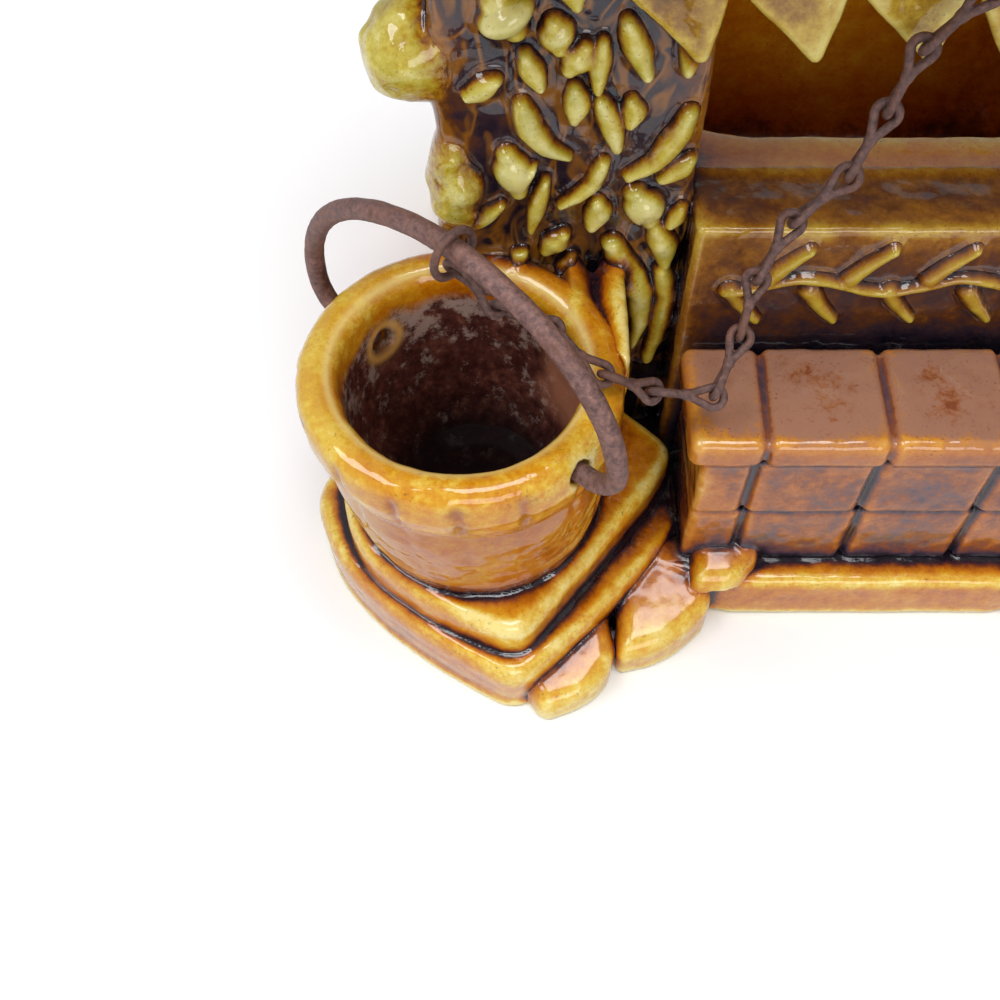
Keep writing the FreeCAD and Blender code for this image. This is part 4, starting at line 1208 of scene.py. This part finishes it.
# The first of these words that is found in a piece's name decides its glaze
MATERIALS = {
    "strap": glaze("glaze_strap", WARM, 0.56, 1.7, 0.5, 0.3, mottle=0.3, extra=strap_spot),
    "bucket": glaze("glaze_bucket", WARM, 0.52, 1.2, 0.3, 0.3, mottle=0.28, extra=bucket_inside),
    "step_upper": glaze("glaze_upper_step", WARM, 0.58, 3.0, 0.5, 0.3, mottle=0.26),
    "step": glaze("glaze_steps", WARM, 0.5, 3.0, 0.5, 0.4, mottle=0.26),
    "stone": glaze("glaze_stones", WARM, 0.57, 1.5, 0.5, 0.4, mottle=0.25, soft=0.16),
    "course": glaze("glaze_bricks", BRICK, 0.42, 1.5, 0.6, 0.3, mottle=0.24),
    # The coping gets the painted pink sheen on its upper faces and painted shade on its sides
    "coping": glaze("glaze_coping", BRICK, 0.5, 1.0, 0.4, 0.3, mottle=0.16, top=0.85, front=0.12),
    "sprig": glaze("glaze_sprig", LEAFY, 0.06, 0.6, 0.2, 0.1, 0.46, mottle=0.16),
    "panel": glaze("glaze_panel", SLATE, 0.46, 1.0, 0.4, 0.4, near=0.2),
    "leaves": glaze("glaze_leaves", LEAFY, 0.04, 0.6, 0.2, 0.1, 0.68, mottle=0.3, green=0.3),
    "lobe": glaze("glaze_lobes", LEAFY, 0.24, 0.8, 0.5, 0.3, 0.16, mottle=0.5, green=0.3),
    "post": glaze("glaze_post", SLATE, 0.18, 1.0, 0.4, 0.5, near=0.42, extra=strands),
    "valance": glaze("glaze_boards", BOARD, 0.46, 1.9, 0.6, 0.4, mottle=0.3),
    "roof": glaze("glaze_roof", WARM, 0.48, 1.8, 0.9, 0.4, soft=0.2),
    "basin": glaze("glaze_basin", WARM, 0.52, 1.4, 0.6, 0.7),
}
MATERIALS["gable"] = MATERIALS["ridge"] = MATERIALS["roof"]
MATERIALS["plinth"] = MATERIALS["step"]
BAIL_RUST = rust("rusty_bail_look", 1.12, 0.3)
CHAIN_RUST = rust("rusty_chain_look", 0.95, 0.7)

for name, obj in pieces.items():
    body = frame["nodes"][name]["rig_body"]
    metal = name not in FIELDS
    if metal:
        obj.data.materials.append(BAIL_RUST if name == "bail" else CHAIN_RUST)
    else:
        obj.data.materials.append(next(glazed for word, glazed in MATERIALS.items() if word in name))
    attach(obj, body)
    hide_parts(name)


def place_of(obj):
    co = np.zeros(len(obj.data.vertices) * 3, np.float32)
    obj.data.vertices.foreach_get("co", co)
    return co.reshape(-1, 3) / MM


co = place_of(pieces["bucket"])
x, y, z = co.T
rho, apart = from_bucket_axis(x, y, z)
wave = noise_at(co, 2.4, 56.0)
outside = fade(rho, 15.8, 0.6)
band = fade(z, 34.6, 1.2) * fade(z, 43.0, -1.4)
side = fade(x - BUCKET_X - 9 + wave, 0, 2.5) * fade(z, 24, 4)
bucket_marks = {
    "hollow": fade(39.8 + noise_at(co, 3.0, 50.0) * 1.2 - z, 0, 1.6) * (rho < 15.6),
    "height": z,
    "joint": groove(apart + 0.5 * wave, 1.1, 0.75) * band * outside,
    "body": fade(35.8 + wave * 0.6 - z, 0, 1.4) * outside * 0.42,
    "west": fade(BUCKET_X - 7 - x, 0, 9) * outside * 0.5,
    "lip": groove(rho - 15.3, 0.55, 0.75) * fade(z, 42.6, 0.8),
    "lit": side * fade(38.5 + wave - z, 0, 2) * 0.8,
    "ring": groove(from_bail_axis(x, y, z) - 2.5, 0.65, 0.9),
}
co = place_of(pieces["bucket_strap"])
x, y, z = co.T
spot = np.hypot(x + 43.0, y + 22.4) + 0.5 * noise_at(co, 0.9, 55.0)
strap_marks = {"spot": fade(spot, 2.0, -0.8) * (z > 38), "ledge": fade(x, -42.2, -1.0) * 0.75}
for name, marks in (("bucket", bucket_marks), ("bucket_strap", strap_marks)):
    for key, values in marks.items():
        set_attribute(pieces[name].data, key, values)


# Floor, light and camera
def floor_material():
    n = Nodes("floor_white")
    seen = n.add("ShaderNodeLightPath").outputs["Is Camera Ray"]
    white = (1.0, 1.0, 1.0, 1)
    away = n.add("ShaderNodeVectorMath", operation="LENGTH")
    n.link(n.place, away.inputs[0])
    n.fill(n.shader, Base_Color=n.mix(seen, (0.82, 0.82, 0.82, 1), white), Roughness=0.9,
           Emission_Color=white, Emission_Strength=n.times(seen, n.range(away.outputs["Value"], 0.16, 0.6)))
    return n.material


floor_mesh = bpy.data.meshes.new("floor")
floor_mesh.from_pydata([(-3, -3, 0), (3, -3, 0), (3, 3, 0), (-3, 3, 0)], [], [(0, 1, 2, 3)])
floor_mesh.materials.append(floor_material())
floor = put("floor", floor_mesh)
floor.location = (0, 0, -0.0002)


def area_light(name, location, target, size, size_y, power, colour):
    data = bpy.data.lights.new(name, "AREA")
    data.shape = "RECTANGLE"
    data.size, data.size_y = size, size_y
    data.energy = power
    data.color = colour
    light = put(name, data)
    light.location = location
    light.rotation_euler = (Vector(target) - Vector(location)).to_track_quat("-Z", "Y").to_euler()


area_light("window", (-0.45, -0.15, 0.62), (-0.04, -0.02, 0.05), 0.4, 0.3, 2.2, (0.95, 0.97, 1.0))
area_light("overhead", (0.2, 0.385, 0.75), (-0.02, 0, 0.05), 0.3, 0.22, 1.1, (1.0, 0.98, 0.95))
area_light("front", (0.1, -0.75, 0.35), (-0.02, 0, 0.05), 0.5, 0.35, 1.8, (1.0, 0.97, 0.95))
area_light("key", (0.02, -0.12, 0.66), (-0.03, -0.03, 0.05), 0.3, 0.24, 1.5, (0.96, 0.98, 1.0))

world = bpy.data.worlds.new("studio")
bpy.context.scene.world = world
world.use_nodes = True
tree = world.node_tree
tree.nodes.clear()
out, mix, path, back, shown = (tree.nodes.new("ShaderNode" + kind) for kind in (
    "OutputWorld", "MixShader", "LightPath", "Background", "Background"))
back.inputs[0].default_value = (0.93, 0.95, 1.0, 1)
back.inputs[1].default_value = 0.45
shown.inputs[0].default_value = (1, 1, 1, 1)
tree.links.new(path.outputs["Is Camera Ray"], mix.inputs[0])
tree.links.new(back.outputs[0], mix.inputs[1])
tree.links.new(shown.outputs[0], mix.inputs[2])
tree.links.new(mix.outputs[0], out.inputs[0])

camera_data = bpy.data.cameras.new("camera")
camera_data.sensor_width = 36.0
camera_data.lens = 42.48
camera_data.clip_start = 0.005
camera = put("camera", camera_data)
camera.location = (-0.0512, -0.1176, 0.1503)
camera.rotation_euler = (math.radians(32.5), 0, 0)
bpy.context.scene.camera = camera
bpy.context.scene.view_settings.view_transform = "Standard"
